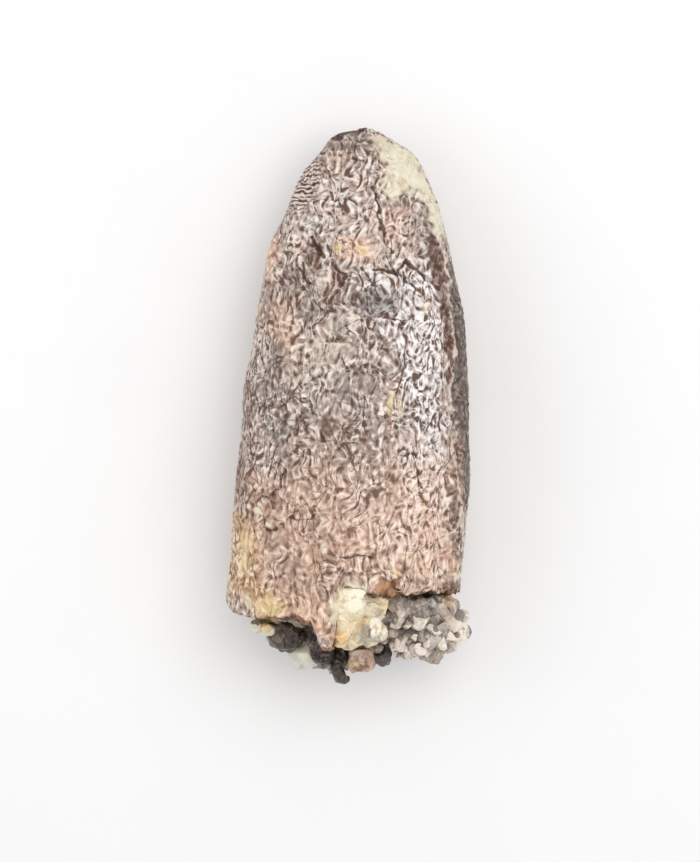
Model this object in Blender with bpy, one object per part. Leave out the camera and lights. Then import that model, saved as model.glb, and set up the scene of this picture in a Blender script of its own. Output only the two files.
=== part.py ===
"""A fossil sauropod tooth lying on its inner side, with stones cemented into its broken base.

+Y runs along the tooth to its tip, +Z is up through the outer face, and +X is to the right of
someone who looks down on it. The origin is the middle of the worn flat spot that it rests on.
Sizes are in millimetres, and MM turns them into the scene's metres.
"""

import math
import random
from typing import NamedTuple

import bmesh
import bpy
from mathutils import Euler, Matrix, Vector, noise

MM = 0.001
# The clear space that two stones, or a stone and the tooth, keep between them.
GAP = 0.3
# Faces that meet at less than this angle are shaded as one round surface.
ROUND_WITHIN = math.radians(38)


class Section(NamedTuple):
    """One cross-section of the tooth."""

    y: float
    left: float
    right: float
    underside: float
    widest: float
    top: float


class Lump(NamedTuple):
    """A rounded or broken stone, as the ellipsoid that it was worn from."""

    centre: tuple
    radii: tuple


# The tooth, from its broken base to its tip.
SECTIONS = (
    Section(-11.6, -7.55, 6.75, -0.35, 4.90, 10.25),
    Section(-8.0, -7.36, 6.85, -0.40, 4.90, 10.50),
    Section(-4.0, -7.10, 7.16, -0.45, 4.90, 10.65),
    Section(0.0, -6.74, 7.40, -0.45, 4.90, 10.60),
    Section(4.0, -6.34, 7.40, -0.42, 4.90, 10.30),
    Section(8.0, -5.70, 7.14, -0.15, 4.85, 9.75),
    Section(11.0, -5.22, 6.66, 0.40, 4.80, 9.05),
    Section(13.3, -4.74, 6.26, 0.90, 4.72, 8.35),
    Section(14.6, -4.22, 5.84, 1.20, 4.66, 7.85),
    Section(16.4, -3.46, 5.24, 1.62, 4.58, 7.10),
    Section(17.8, -2.76, 4.76, 2.00, 4.48, 6.45),
    Section(19.0, -1.92, 4.06, 2.45, 4.38, 5.80),
    Section(19.8, -1.22, 3.02, 2.90, 4.30, 5.30),
    Section(20.35, -0.42, 2.05, 3.35, 4.22, 4.85),
)
TIP = Vector((1.10, 20.65, 4.20))
TOP_FULLNESS = 2.15
UNDERSIDE_FULLNESS = 2.5
TOP_COLUMNS = 42
UNDERSIDE_COLUMNS = 18
RINGS = 40

# The broken edge: how far down the outer and the inner rim of the wall reach at each angle round
# the tooth. 0 degrees is the right side, 90 the top, 180 the left and 270 the underside.
BROKEN_EDGE = (
    (0, -7.75, -7.60),
    (23, -7.50, -7.60),
    (39, -7.45, -7.30),
    (51, -7.35, -7.25),
    (59, -7.55, -7.70),
    (65, -6.80, -7.85),
    (69, -6.95, -7.90),
    (75, -7.85, -7.80),
    (79, -7.20, -7.15),
    (90, -7.20, -7.15),
    (93, -10.85, -10.3),
    (97, -11.00, -10.4),
    (101, -10.60, -10.2),
    (104, -9.90, -9.70),
    (111, -9.35, -9.20),
    (132, -9.00, -8.80),
    (150, -8.95, -8.70),
    (180, -8.35, -8.60),
    (200, -8.55, -8.50),
    (222, -8.30, -8.60),
    (248, -8.80, -8.40),
    (270, -8.80, -8.60),
    (296, -8.20, -8.50),
    (318, -8.60, -8.20),
    (340, -7.80, -8.00),
)
RAGGED_FROM = -5.2
WALL = 1.35
CAVITY_ROOF = -5.0
# Where the rings of the hollow lie, from its roof (1) to the inner rim (0).
CAVITY_RINGS = (1.0, 0.6, 0.25, 0.0)
CAVITY_DOME = 0.2

# Low lengthwise folds and dents in the wrinkled enamel.
FOLD_WIDTH = 0.85
FOLD_LENGTH = 4.6
FOLD_HEIGHT = 0.25
FOLD_SHIFT = Vector((0.0, 0.0, 7.3))
DENT_SIZE = 2.6
DENT_DEPTH = 0.20
DENT_SHIFT = Vector((3.1, 8.6, 1.7))
# The raised edge along the right side, and the worn band beside it.
KEEL_ANGLE = 24
KEEL_SPREAD = 6.5
KEEL_HEIGHT = 0.32
KEEL_ROOT = -5.5
KEEL_TIP = 14.0
KEEL_RUN_OUT = 3.0
BAND_ANGLE = 37
BAND_SPREAD = 6.0
BAND_DEPTH = 0.18

# Places worn or chipped flat at the tip: a point on each one and the way it faces.
TIP_FACETS = (
    ((0.1, 20.55, 4.9), (-0.42, 0.72, 0.56)),
    ((3.0, 19.2, 5.40), (0.34, 0.36, 0.87)),
)

# Sandstone: the plug that fills the hollow base, and the masses that stand out of it.
PLUG_REACH = -10.9
PLUG_RINGS = 7
PLUG_DOME = 0.3
PLUG_NARROWS_FROM = 0.55
PLUG_NARROWS_BY = 0.55
PLUG_ROUGHNESS = 0.5
PLUG_ROUGH_BELOW = -9.0
PLUG_LUMP_SIZE = 1.4
PLUG_SHIFT = Vector((4.4, 0.3, 9.1))
SAND_ROUGHNESS = 0.22
GRAINY_MASSES = (
    Lump((4.45, -10.30, 5.5), (2.00, 1.30, 2.75)),
    Lump((4.70, -9.20, 6.3), (1.60, 0.85, 1.75)),
    Lump((6.15, -9.95, 5.5), (0.80, 0.65, 1.10)),
)
SMOOTH_MASSES = (
    Lump((2.75, -9.30, 7.2), (0.80, 0.80, 1.00)),
    Lump((2.55, -8.30, 7.9), (0.75, 0.45, 0.70)),
    Lump((3.80, -8.25, 7.6), (0.80, 0.42, 0.70)),
    Lump((4.95, -8.25, 6.9), (0.60, 0.45, 0.80)),
    Lump((5.68, -8.60, 6.0), (0.84, 0.60, 1.15)),
    Lump((-3.30, -9.90, 4.9), (1.90, 1.40, 2.50)),
    Lump((-1.70, -11.10, 5.6), (0.90, 1.20, 1.90)),
    Lump((-0.50, -11.60, 5.3), (0.95, 0.95, 1.50)),
    Lump((1.25, -10.90, 5.2), (1.45, 1.20, 1.90)),
)
GRAIN_COUNT = 46
GRAIN_RADII = (0.30, 0.60)
GRAIN_STRETCH = ((0.8, 1.25), (0.8, 1.25), (0.7, 1.0))
GRAIN_KNOCK = 0.14
GRAIN_STANDS_OUT = 0.87
GRAIN_BURIED = 0.95
GRAINS_BELOW = -8.7
GRAIN_SEED = 41

# The stones that the sandstone holds.
STONE_ROUGHNESS = 0.20
STONE_LUMP_SIZE = 0.8
# How deep the facets of a chipped stone are cut, as shares of its radius.
FACET_DEPTHS = (0.70, 0.84)
FACET_TILT = 0.3
FACET_FLAT_WITHIN = math.radians(8)
# The most that a sharp edge is drawn out where a stone's seat is made.
SEAT_STRETCH = 1.3
CALCITE_KNOBS = (
    Lump((0.47, -8.34, 9.0), (0.84, 0.72, 0.95)),
    Lump((1.20, -8.95, 8.6), (0.68, 0.66, 0.80)),
    Lump((0.50, -9.45, 8.5), (0.66, 0.90, 0.95)),
    Lump((0.00, -10.05, 8.1), (0.50, 0.98, 0.95)),
)
CALCITE_BLOCK = Lump((1.38, -10.00, 7.9), (0.98, 0.86, 1.00))
CALCITE_FACETS = 12
NODULE_FACETS = 20
LEFT_NODULE = Lump((-3.66, -10.26, 7.1), (1.04, 1.12, 1.30))
RIGHT_NODULE = Lump((2.08, -11.45, 5.7), (0.68, 0.90, 1.20))
TAIL_NODULE = Lump((-0.38, -12.80, 6.2), (0.48, 0.56, 0.65))
CHERT_GRAIN = Lump((-5.30, -9.60, 6.2), (0.62, 0.58, 0.80))
QUARTZ_PEBBLE = Lump((-2.58, -11.55, 6.0), (1.08, 0.92, 1.15))
QUARTZ_FACETS = 14
FELDSPAR_BLOCK = Lump((0.78, -11.58, 7.1), (0.66, 0.64, 0.75))
FELDSPAR_TURN = (12, -9, 6)
FELDSPAR_BEVEL = 0.14

# Colour, roughness and metallic value of each surface.
FINISHES = {
    "fossil_enamel": ((0.42, 0.31, 0.26), 0.42, 0.0),
    "sandstone": ((0.36, 0.32, 0.28), 0.85, 0.0),
    "calcite": ((0.78, 0.68, 0.46), 0.55, 0.0),
    "ironstone": ((0.07, 0.055, 0.05), 0.60, 0.0),
    "chert": ((0.47, 0.45, 0.36), 0.50, 0.0),
    "quartz": ((0.62, 0.61, 0.50), 0.25, 0.0),
    "feldspar": ((0.50, 0.37, 0.30), 0.60, 0.0),
}


def finish(name):
    """The material of that name, made once."""
    found = bpy.data.materials.get(name)
    if found:
        return found
    colour, roughness, metallic = FINISHES[name]
    made = bpy.data.materials.new(name)
    made.use_nodes = True
    shader = made.node_tree.nodes["Principled BSDF"]
    shader.inputs["Base Color"].default_value = (*colour, 1.0)
    shader.inputs["Roughness"].default_value = roughness
    shader.inputs["Metallic"].default_value = metallic
    made.diffuse_color = (*colour, 1.0)
    return made


def object_from(shape, name, finish_name=None):
    """A scene object of the shape in metres: a piece, or a hidden helper if it has no finish."""
    bmesh.ops.recalc_face_normals(shape, faces=shape.faces)
    bmesh.ops.scale(shape, vec=Vector((MM, MM, MM)), verts=shape.verts)
    mesh = bpy.data.meshes.new(name)
    shape.to_mesh(mesh)
    shape.free()
    mesh.shade_smooth()
    mesh.set_sharp_from_angle(angle=ROUND_WITHIN)
    made = bpy.data.objects.new(name, mesh)
    bpy.context.scene.collection.objects.link(made)
    if finish_name:
        mesh.materials.append(finish(finish_name))
    else:
        made.hide_render = True
        made.display_type = "WIRE"
    return made


def combine(body, helper, operation):
    """Unites the body with a helper, or cuts the helper out of it."""
    change = body.modifiers.new(helper.name, "BOOLEAN")
    change.operation = operation
    change.object = helper
    change.use_self = True


def bump(value, middle, spread):
    """1 at the middle, falling smoothly to 0 about two spreads away."""
    return math.exp(-(((value - middle) / spread) ** 2))


def fade(value, low, high):
    """0 below low, 1 above high, and smooth between them."""
    share = min(max((value - low) / (high - low), 0.0), 1.0)
    return share * share * (3 - 2 * share)


def along_sections(place):
    """The smooth curve through the sections, read at a place counted in sections."""
    last = len(SECTIONS) - 1
    start = min(int(place), last - 1)
    share = place - start
    before, here, there, after = (
        SECTIONS[min(max(start + step, 0), last)] for step in (-1, 0, 1, 2)
    )
    values = []
    for a, b, c, d in zip(before, here, there, after):
        bend = a - 2.5 * b + 2 * c - 0.5 * d + share * (1.5 * (b - c) + 0.5 * (d - a))
        values.append(b + share * (0.5 * (c - a) + share * bend))
    return Section(*values)


def section_at(y):
    """The cross-section of the tooth at that place along Y."""
    low, high = 0.0, float(len(SECTIONS) - 1)
    for _ in range(32):
        middle = (low + high) / 2
        if along_sections(middle).y < y:
            low = middle
        else:
            high = middle
    return along_sections(low)


def ring_places():
    """Where the rings lie along Y, evenly spaced over the surface from the base to the tip."""
    samples = 600
    last = len(SECTIONS) - 1
    curve = [along_sections(last * n / samples) for n in range(samples + 1)]
    walked = [0.0]
    for before, here in zip(curve, curve[1:]):
        narrowed = (before.right - before.left - here.right + here.left) / 2
        walked.append(walked[-1] + math.hypot(here.y - before.y, narrowed))
    places = []
    for n in range(RINGS):
        wanted = walked[-1] * n / (RINGS - 1)
        nearest = min(range(samples + 1), key=lambda k: abs(walked[k] - wanted))
        places.append(curve[nearest].y)
    return places


def ring_angles():
    """The angles of the columns in degrees, closer together over the top than underneath."""
    top = [180 * n / TOP_COLUMNS for n in range(TOP_COLUMNS)]
    underside = [180 + 180 * n / UNDERSIDE_COLUMNS for n in range(UNDERSIDE_COLUMNS)]
    return top + underside


def rim(angle):
    """How far down the outer and the inner rim reach at an angle in degrees."""
    ends = BROKEN_EDGE + ((360, *BROKEN_EDGE[0][1:]),)
    for (a, *low), (b, *high) in zip(ends, ends[1:]):
        if a <= angle <= b:
            share = (angle - a) / (b - a)
            return tuple(start + share * (end - start) for start, end in zip(low, high))
    raise ValueError(f"no rim at {angle} degrees")


def relief(point, angle):
    """How far the enamel stands out from the plain form at a point."""
    x, y, z = point
    stretched = Vector((x / FOLD_WIDTH, y / FOLD_LENGTH, z / FOLD_WIDTH))
    folds = noise.noise(stretched + FOLD_SHIFT)
    dents = noise.noise(Vector((x, y, z)) / DENT_SIZE + DENT_SHIFT)
    dents *= abs(math.sin(math.radians(angle)))
    keel_share = fade(y, KEEL_ROOT - KEEL_RUN_OUT, KEEL_ROOT)
    keel_share *= 1 - fade(y, KEEL_TIP - KEEL_RUN_OUT, KEEL_TIP)
    keel = KEEL_HEIGHT * bump(angle, KEEL_ANGLE, KEEL_SPREAD)
    band = BAND_DEPTH * bump(angle, BAND_ANGLE, BAND_SPREAD)
    return FOLD_HEIGHT * folds + DENT_DEPTH * dents + keel_share * (keel - band)


def skin_point(y, angle, inset=0.0):
    """The point at a place along Y and an angle, on the surface or set in from it."""
    section = section_at(y)
    turn = math.radians(angle)
    upper = angle < 180
    fullness = TOP_FULLNESS if upper else UNDERSIDE_FULLNESS
    across = math.copysign(abs(math.cos(turn)) ** (2 / fullness), math.cos(turn))
    up = math.copysign(abs(math.sin(turn)) ** (2 / fullness), math.sin(turn))
    half_width = (section.right - section.left) / 2 - inset
    half_height = abs((section.top if upper else section.underside) - section.widest) - inset
    middle = Vector(((section.left + section.right) / 2, y, section.widest))
    point = middle + Vector((half_width * across, 0, half_height * up))
    if inset == 0:
        point += (point - middle).normalized() * relief(point, angle)
    return point


def middle_of(ring):
    """The mean of the ring's points."""
    return sum(ring, Vector()) / len(ring)


def loft(rings, first_pole, last_pole):
    """A closed shape through rings of as many points, with a point at each end."""
    shape = bmesh.new()
    rows = [[shape.verts.new(point) for point in ring] for ring in rings]
    for lower, upper in zip(rows, rows[1:]):
        for n in range(len(lower)):
            after = (n + 1) % len(lower)
            shape.faces.new((lower[n], lower[after], upper[after], upper[n]))
    for row, pole in ((rows[0], first_pole), (rows[-1], last_pole)):
        end = shape.verts.new(pole)
        for n in range(len(row)):
            shape.faces.new((row[n], row[(n + 1) % len(row)], end))
    return shape


def flatten_beyond(shape, on_plane, facing):
    """Presses every point that lies beyond a plane back onto it, as wear does."""
    facing = Vector(facing).normalized()
    for vert in shape.verts:
        beyond = (vert.co - Vector(on_plane)).dot(facing)
        if beyond > 0:
            vert.co -= facing * beyond


def make_tooth():
    """The crown, broken off at its base and hollow there."""
    angles = ring_angles()
    base = SECTIONS[0].y
    outer = []
    for place in ring_places():
        share = max((place - RAGGED_FROM) / (base - RAGGED_FROM), 0.0)
        ring = []
        for angle in angles:
            y = place + share * (rim(angle)[0] - base)
            ring.append(skin_point(y, angle))
        outer.append(ring)
    inner = []
    for depth in CAVITY_RINGS:
        ring = []
        for angle in angles:
            lip = rim(angle)[1]
            ring.append(skin_point(lip + depth * (CAVITY_ROOF - lip), angle, WALL))
        inner.append(ring)
    shape = loft(inner + outer, middle_of(inner[0]) + Vector((0, CAVITY_DOME, 0)), TIP)
    for on_plane, facing in TIP_FACETS:
        flatten_beyond(shape, on_plane, facing)
    flatten_beyond(shape, (0, 0, 0), (0, 0, -1))
    return object_from(shape, "tooth", "fossil_enamel")


def roughen(shape, amount, size, seed):
    """Moves every point out or in by noise of that amount, with lumps of that size."""
    shift = Vector((seed * 3.7, seed * 1.9, seed * 5.3))
    shape.normal_update()
    for vert in shape.verts:
        vert.co += vert.normal * amount * noise.noise(vert.co / size + shift)


def rounded(lump, detail, seed, amount=STONE_ROUGHNESS):
    """A rounded stone with an uneven surface."""
    shape = bmesh.new()
    bmesh.ops.create_icosphere(shape, subdivisions=detail, radius=1.0)
    for vert in shape.verts:
        vert.co = Vector(lump.centre) + vert.co * Vector(lump.radii)
    roughen(shape, amount, STONE_LUMP_SIZE, seed)
    return shape


def directions(count):
    """Directions spread evenly over a sphere."""
    golden = math.pi * (3 - math.sqrt(5))
    for n in range(count):
        height = 1 - 2 * (n + 0.5) / count
        out = math.sqrt(1 - height * height)
        yield Vector((out * math.cos(golden * n), height, out * math.sin(golden * n)))


def chipped(lump, facets, seed):
    """A stone of flat facets, each cut at its own depth."""
    dice = random.Random(seed)
    shape = bmesh.new()
    bmesh.ops.create_icosphere(shape, subdivisions=3, radius=1.0)
    for way in directions(facets):
        tilt = Vector([dice.uniform(-FACET_TILT, FACET_TILT) for _ in range(3)])
        facing = (way + tilt).normalized()
        bmesh.ops.bisect_plane(
            shape,
            geom=shape.verts[:] + shape.edges[:] + shape.faces[:],
            plane_co=facing * dice.uniform(*FACET_DEPTHS),
            plane_no=facing,
            clear_outer=True,
        )
        rim_edges = [edge for edge in shape.edges if edge.is_boundary]
        bmesh.ops.contextual_create(shape, geom=rim_edges)
    bmesh.ops.dissolve_limit(
        shape, angle_limit=FACET_FLAT_WITHIN, verts=shape.verts[:], edges=shape.edges[:]
    )
    for vert in shape.verts:
        vert.co = Vector(lump.centre) + vert.co * Vector(lump.radii)
    return shape


def block(lump, turn, bevel):
    """A squarish stone with its corners worn off."""
    shape = bmesh.new()
    bmesh.ops.create_cube(shape, size=2.0)
    for vert in shape.verts:
        vert.co = vert.co * Vector(lump.radii)
    bmesh.ops.bevel(shape, geom=shape.edges[:], offset=bevel, segments=1, affect="EDGES")
    turned = Euler([math.radians(angle) for angle in turn]).to_matrix()
    for vert in shape.verts:
        vert.co = Vector(lump.centre) + turned @ vert.co
    return shape


def grown(shape, distance):
    """A copy of the shape that stands out from it by the distance all round."""
    larger = shape.copy()
    larger.normal_update()
    moves = []
    for vert in larger.verts:
        moves.append(vert.normal * distance * min(vert.calc_shell_factor(), SEAT_STRETCH))
    for vert, move in zip(larger.verts, moves):
        vert.co += move
    return larger


def merged(shapes):
    """One mesh that holds all the shapes."""
    whole = bmesh.new()
    for shape in shapes:
        mesh = bpy.data.meshes.new("merged")
        shape.to_mesh(mesh)
        shape.free()
        whole.from_mesh(mesh)
        bpy.data.meshes.remove(mesh)
    return whole


def grain(place, dice):
    """One angular sand grain."""
    radius = dice.uniform(*GRAIN_RADII)
    stretch = Vector([dice.uniform(*limits) for limits in GRAIN_STRETCH])
    axis = Vector([dice.uniform(-1, 1) for _ in range(3)]).normalized()
    turned = Matrix.Rotation(dice.uniform(0, math.tau), 3, axis)
    shape = bmesh.new()
    bmesh.ops.create_icosphere(shape, subdivisions=1, radius=radius)
    for vert in shape.verts:
        knock = Vector([dice.uniform(-1, 1) for _ in range(3)]) * GRAIN_KNOCK * radius
        vert.co = place + turned @ ((vert.co + knock) * stretch)
    return shape


def grains():
    """Sand grains that stand out of the grainy masses, on the sides that are in the open."""
    dice = random.Random(GRAIN_SEED)
    areas = [lump.radii[0] * lump.radii[1] for lump in GRAINY_MASSES]
    made = []
    for lump, area in zip(GRAINY_MASSES, areas):
        others = [other for other in GRAINY_MASSES if other is not lump]
        for way in directions(round(GRAIN_COUNT * area / sum(areas))):
            place = Vector(lump.centre) + way * Vector(lump.radii) * GRAIN_STANDS_OUT
            buried = any(depth_in(place, other) < GRAIN_BURIED for other in others)
            if not buried and place.y < GRAINS_BELOW:
                made.append(grain(place, dice))
    return made


def depth_in(place, lump):
    """0 at the lump's centre and 1 on its surface."""
    away = place - Vector(lump.centre)
    return math.sqrt(sum((a / r) ** 2 for a, r in zip(away, lump.radii)))


def make_sandstone(seats):
    """The plug in the hollow base, with what stands out of it and a seat for each stone."""
    rings = []
    for n in range(PLUG_RINGS):
        share = n / (PLUG_RINGS - 1)
        y = CAVITY_ROOF - GAP + share * (PLUG_REACH - CAVITY_ROOF + GAP)
        ring = [skin_point(y, angle, WALL + GAP) for angle in ring_angles()[::2]]
        middle = middle_of(ring)
        narrow = 1 - PLUG_NARROWS_BY * fade(share, PLUG_NARROWS_FROM, 1.0) ** 2
        rings.append([middle + (point - middle) * narrow for point in ring])
    shape = loft(rings, middle_of(rings[0]), middle_of(rings[-1]) - Vector((0, PLUG_DOME, 0)))
    for vert in shape.verts:
        share = fade(PLUG_ROUGH_BELOW - vert.co.y, 0.0, 1.0)
        uneven = noise.noise(vert.co / PLUG_LUMP_SIZE + PLUG_SHIFT)
        vert.co.y += share * PLUG_ROUGHNESS * uneven
    body = object_from(shape, "sandstone_matrix", "sandstone")
    masses = [
        rounded(lump, detail=2, seed=n + 3, amount=SAND_ROUGHNESS)
        for n, lump in enumerate(GRAINY_MASSES + SMOOTH_MASSES)
    ]
    combine(body, object_from(merged(masses + grains()), "masses_and_grains"), "UNION")
    combine(body, object_from(merged(seats), "seats"), "DIFFERENCE")


def make_calcite(knobs):
    """The pale lump, as one solid of its knobs and its broken block."""
    body = object_from(knobs[0], "calcite_lump", "calcite")
    combine(body, object_from(merged(knobs[1:]), "calcite_knobs"), "UNION")


def main():
    """Builds the tooth and the stones in its base."""
    for old in list(bpy.data.objects):
        bpy.data.objects.remove(old)
    make_tooth()
    knobs = [rounded(lump, detail=2, seed=n + 21) for n, lump in enumerate(CALCITE_KNOBS)]
    knobs.append(chipped(CALCITE_BLOCK, CALCITE_FACETS, seed=27))
    stones = (
        ("left_nodule", "ironstone", chipped(LEFT_NODULE, NODULE_FACETS, seed=11)),
        ("right_nodule", "ironstone", chipped(RIGHT_NODULE, NODULE_FACETS, seed=12)),
        ("tail_nodule", "ironstone", rounded(TAIL_NODULE, detail=2, seed=13)),
        ("chert_grain", "chert", chipped(CHERT_GRAIN, NODULE_FACETS, seed=14)),
        ("quartz_pebble", "quartz", chipped(QUARTZ_PEBBLE, QUARTZ_FACETS, seed=15)),
        ("feldspar_block", "feldspar", block(FELDSPAR_BLOCK, FELDSPAR_TURN, FELDSPAR_BEVEL)),
    )
    make_sandstone([grown(shape, GAP) for shape in (*knobs, *(stone[2] for stone in stones))])
    make_calcite(knobs)
    for name, finish_name, shape in stones:
        object_from(shape, name, finish_name)


main()
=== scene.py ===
"""A fossil sauropod tooth with stones cemented into its broken base, dressed over its solids.

+Y runs to the tip, +Z is up through the outer face, and the origin is under the middle of the
worn flat spot. Sizes here are millimetres, and MM turns them into the scene's metres.
"""

import logging
import math
from dataclasses import dataclass, field
from enum import Enum

import bmesh
import bpy
import numpy as np
from mathutils import Matrix, Vector
from mathutils.bvhtree import BVHTree


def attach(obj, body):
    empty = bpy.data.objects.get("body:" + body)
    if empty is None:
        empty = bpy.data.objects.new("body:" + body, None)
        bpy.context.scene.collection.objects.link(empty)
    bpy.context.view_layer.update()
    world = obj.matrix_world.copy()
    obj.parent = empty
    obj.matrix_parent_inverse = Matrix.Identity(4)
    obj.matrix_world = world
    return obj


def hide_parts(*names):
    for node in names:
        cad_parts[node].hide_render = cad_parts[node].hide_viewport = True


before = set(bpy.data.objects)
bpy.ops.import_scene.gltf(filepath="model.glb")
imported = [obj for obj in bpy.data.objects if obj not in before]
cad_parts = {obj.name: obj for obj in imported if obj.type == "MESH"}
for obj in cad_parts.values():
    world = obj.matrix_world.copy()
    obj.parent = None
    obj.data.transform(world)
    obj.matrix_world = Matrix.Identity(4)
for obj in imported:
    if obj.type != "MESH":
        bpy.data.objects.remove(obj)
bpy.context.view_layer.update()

MM = 0.001
# Where the photograph was taken from: a point high above the tooth, and the height of the
# plane through its widest line, on which places seen from there are measured.
EYE = Vector((0.122, 2.077, 151.2))
WIDEST = 4.9
# How far the edges of the oval stains wander, how far a facet of a stone reaches, and how much
# a facet may lean.
PATCH_WANDER = 0.10
CHIP_REACH = 0.75
CHIP_TILT = 0.22

LOG = logging.getLogger("tooth")

Colour = tuple[float, float, float, float]
Socket = bpy.types.NodeSocket
Feed = float | Colour | Socket


class Tone(Enum):
    """The stains and worn places of the enamel, with its painted sheen, glints and shade. The value
    names the mesh attribute.
    """

    CREAM = "cream"
    OCHRE = "ochre"
    RUST = "rust"
    SLATE = "slate"
    PALE = "pale"
    ROSE = "rose"
    UMBER = "umber"
    GOLD = "gold"
    # Painted shade on the steep side face and down the darker sides, partly darker stain.
    SHADE_AND_DARK_STAIN = "dusk"
    SPALL = "spall"
    STRIPED = "striped"
    # Painted sheen: lighter places where light glances off the enamel.
    GLOSSY = "glossy"


class LineKind(Enum):
    """The lines of the enamel. The value names the mesh attribute that holds the distance to them."""

    CRACK = "to_crack"
    SEAM = "to_seam"
    PALE_LINE = "to_pale_line"


class Stroke(Enum):
    """The noises whose zero lines are the enamel's wrinkles, and the lumps between them."""

    PALE_WIDE = "pale_wide"
    PALE_NARROW = "pale_narrow"
    DARK_WIDE = "dark_wide"
    DARK_NARROW = "dark_narrow"
    LUMPS = "lumps"


class Mark(Enum):
    """The other numbers that a finish reads from the mesh."""

    MOTTLE = "mottle"
    BLUSH = "blush"
    WRINKLED = "wrinkled"
    STRIPES = "stripes"
    BROKEN = "broken"
    CHIP = "chip"
    # Painted shade in the low places of a stone's relief.
    HOLLOW_SHADE = "hollow"
    KIND = "kind"


class Sum(Enum):
    """The sums that a material does. The value is the Math node's own name for each."""

    ADD = "ADD"
    SUBTRACT = "SUBTRACT"
    MULTIPLY = "MULTIPLY"
    LARGER = "MAXIMUM"
    SIZE = "ABSOLUTE"


@dataclass(frozen=True)
class Patch:
    """An oval place on the outer face, seen from above, with one tone."""

    tone: Tone
    x: float
    y: float
    across: float
    along: float
    turn: float = 0.0
    strength: float = 1.0
    soft: float = 0.35


@dataclass(frozen=True)
class Area:
    """A place on the outer face with an outline of its own, seen from above, and one tone."""

    tone: Tone
    outline: tuple[tuple[float, float], ...]
    soft: float = 0.3
    strength: float = 1.0
    wander: float = 0.25


@dataclass(frozen=True)
class Line:
    """A crack, seam or pale line on the outer face, seen from above."""

    kind: LineKind
    path: tuple[tuple[float, float], ...]
    width: float = 0.12
    depth: float = 0.0
    wander: float = 0.07
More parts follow.
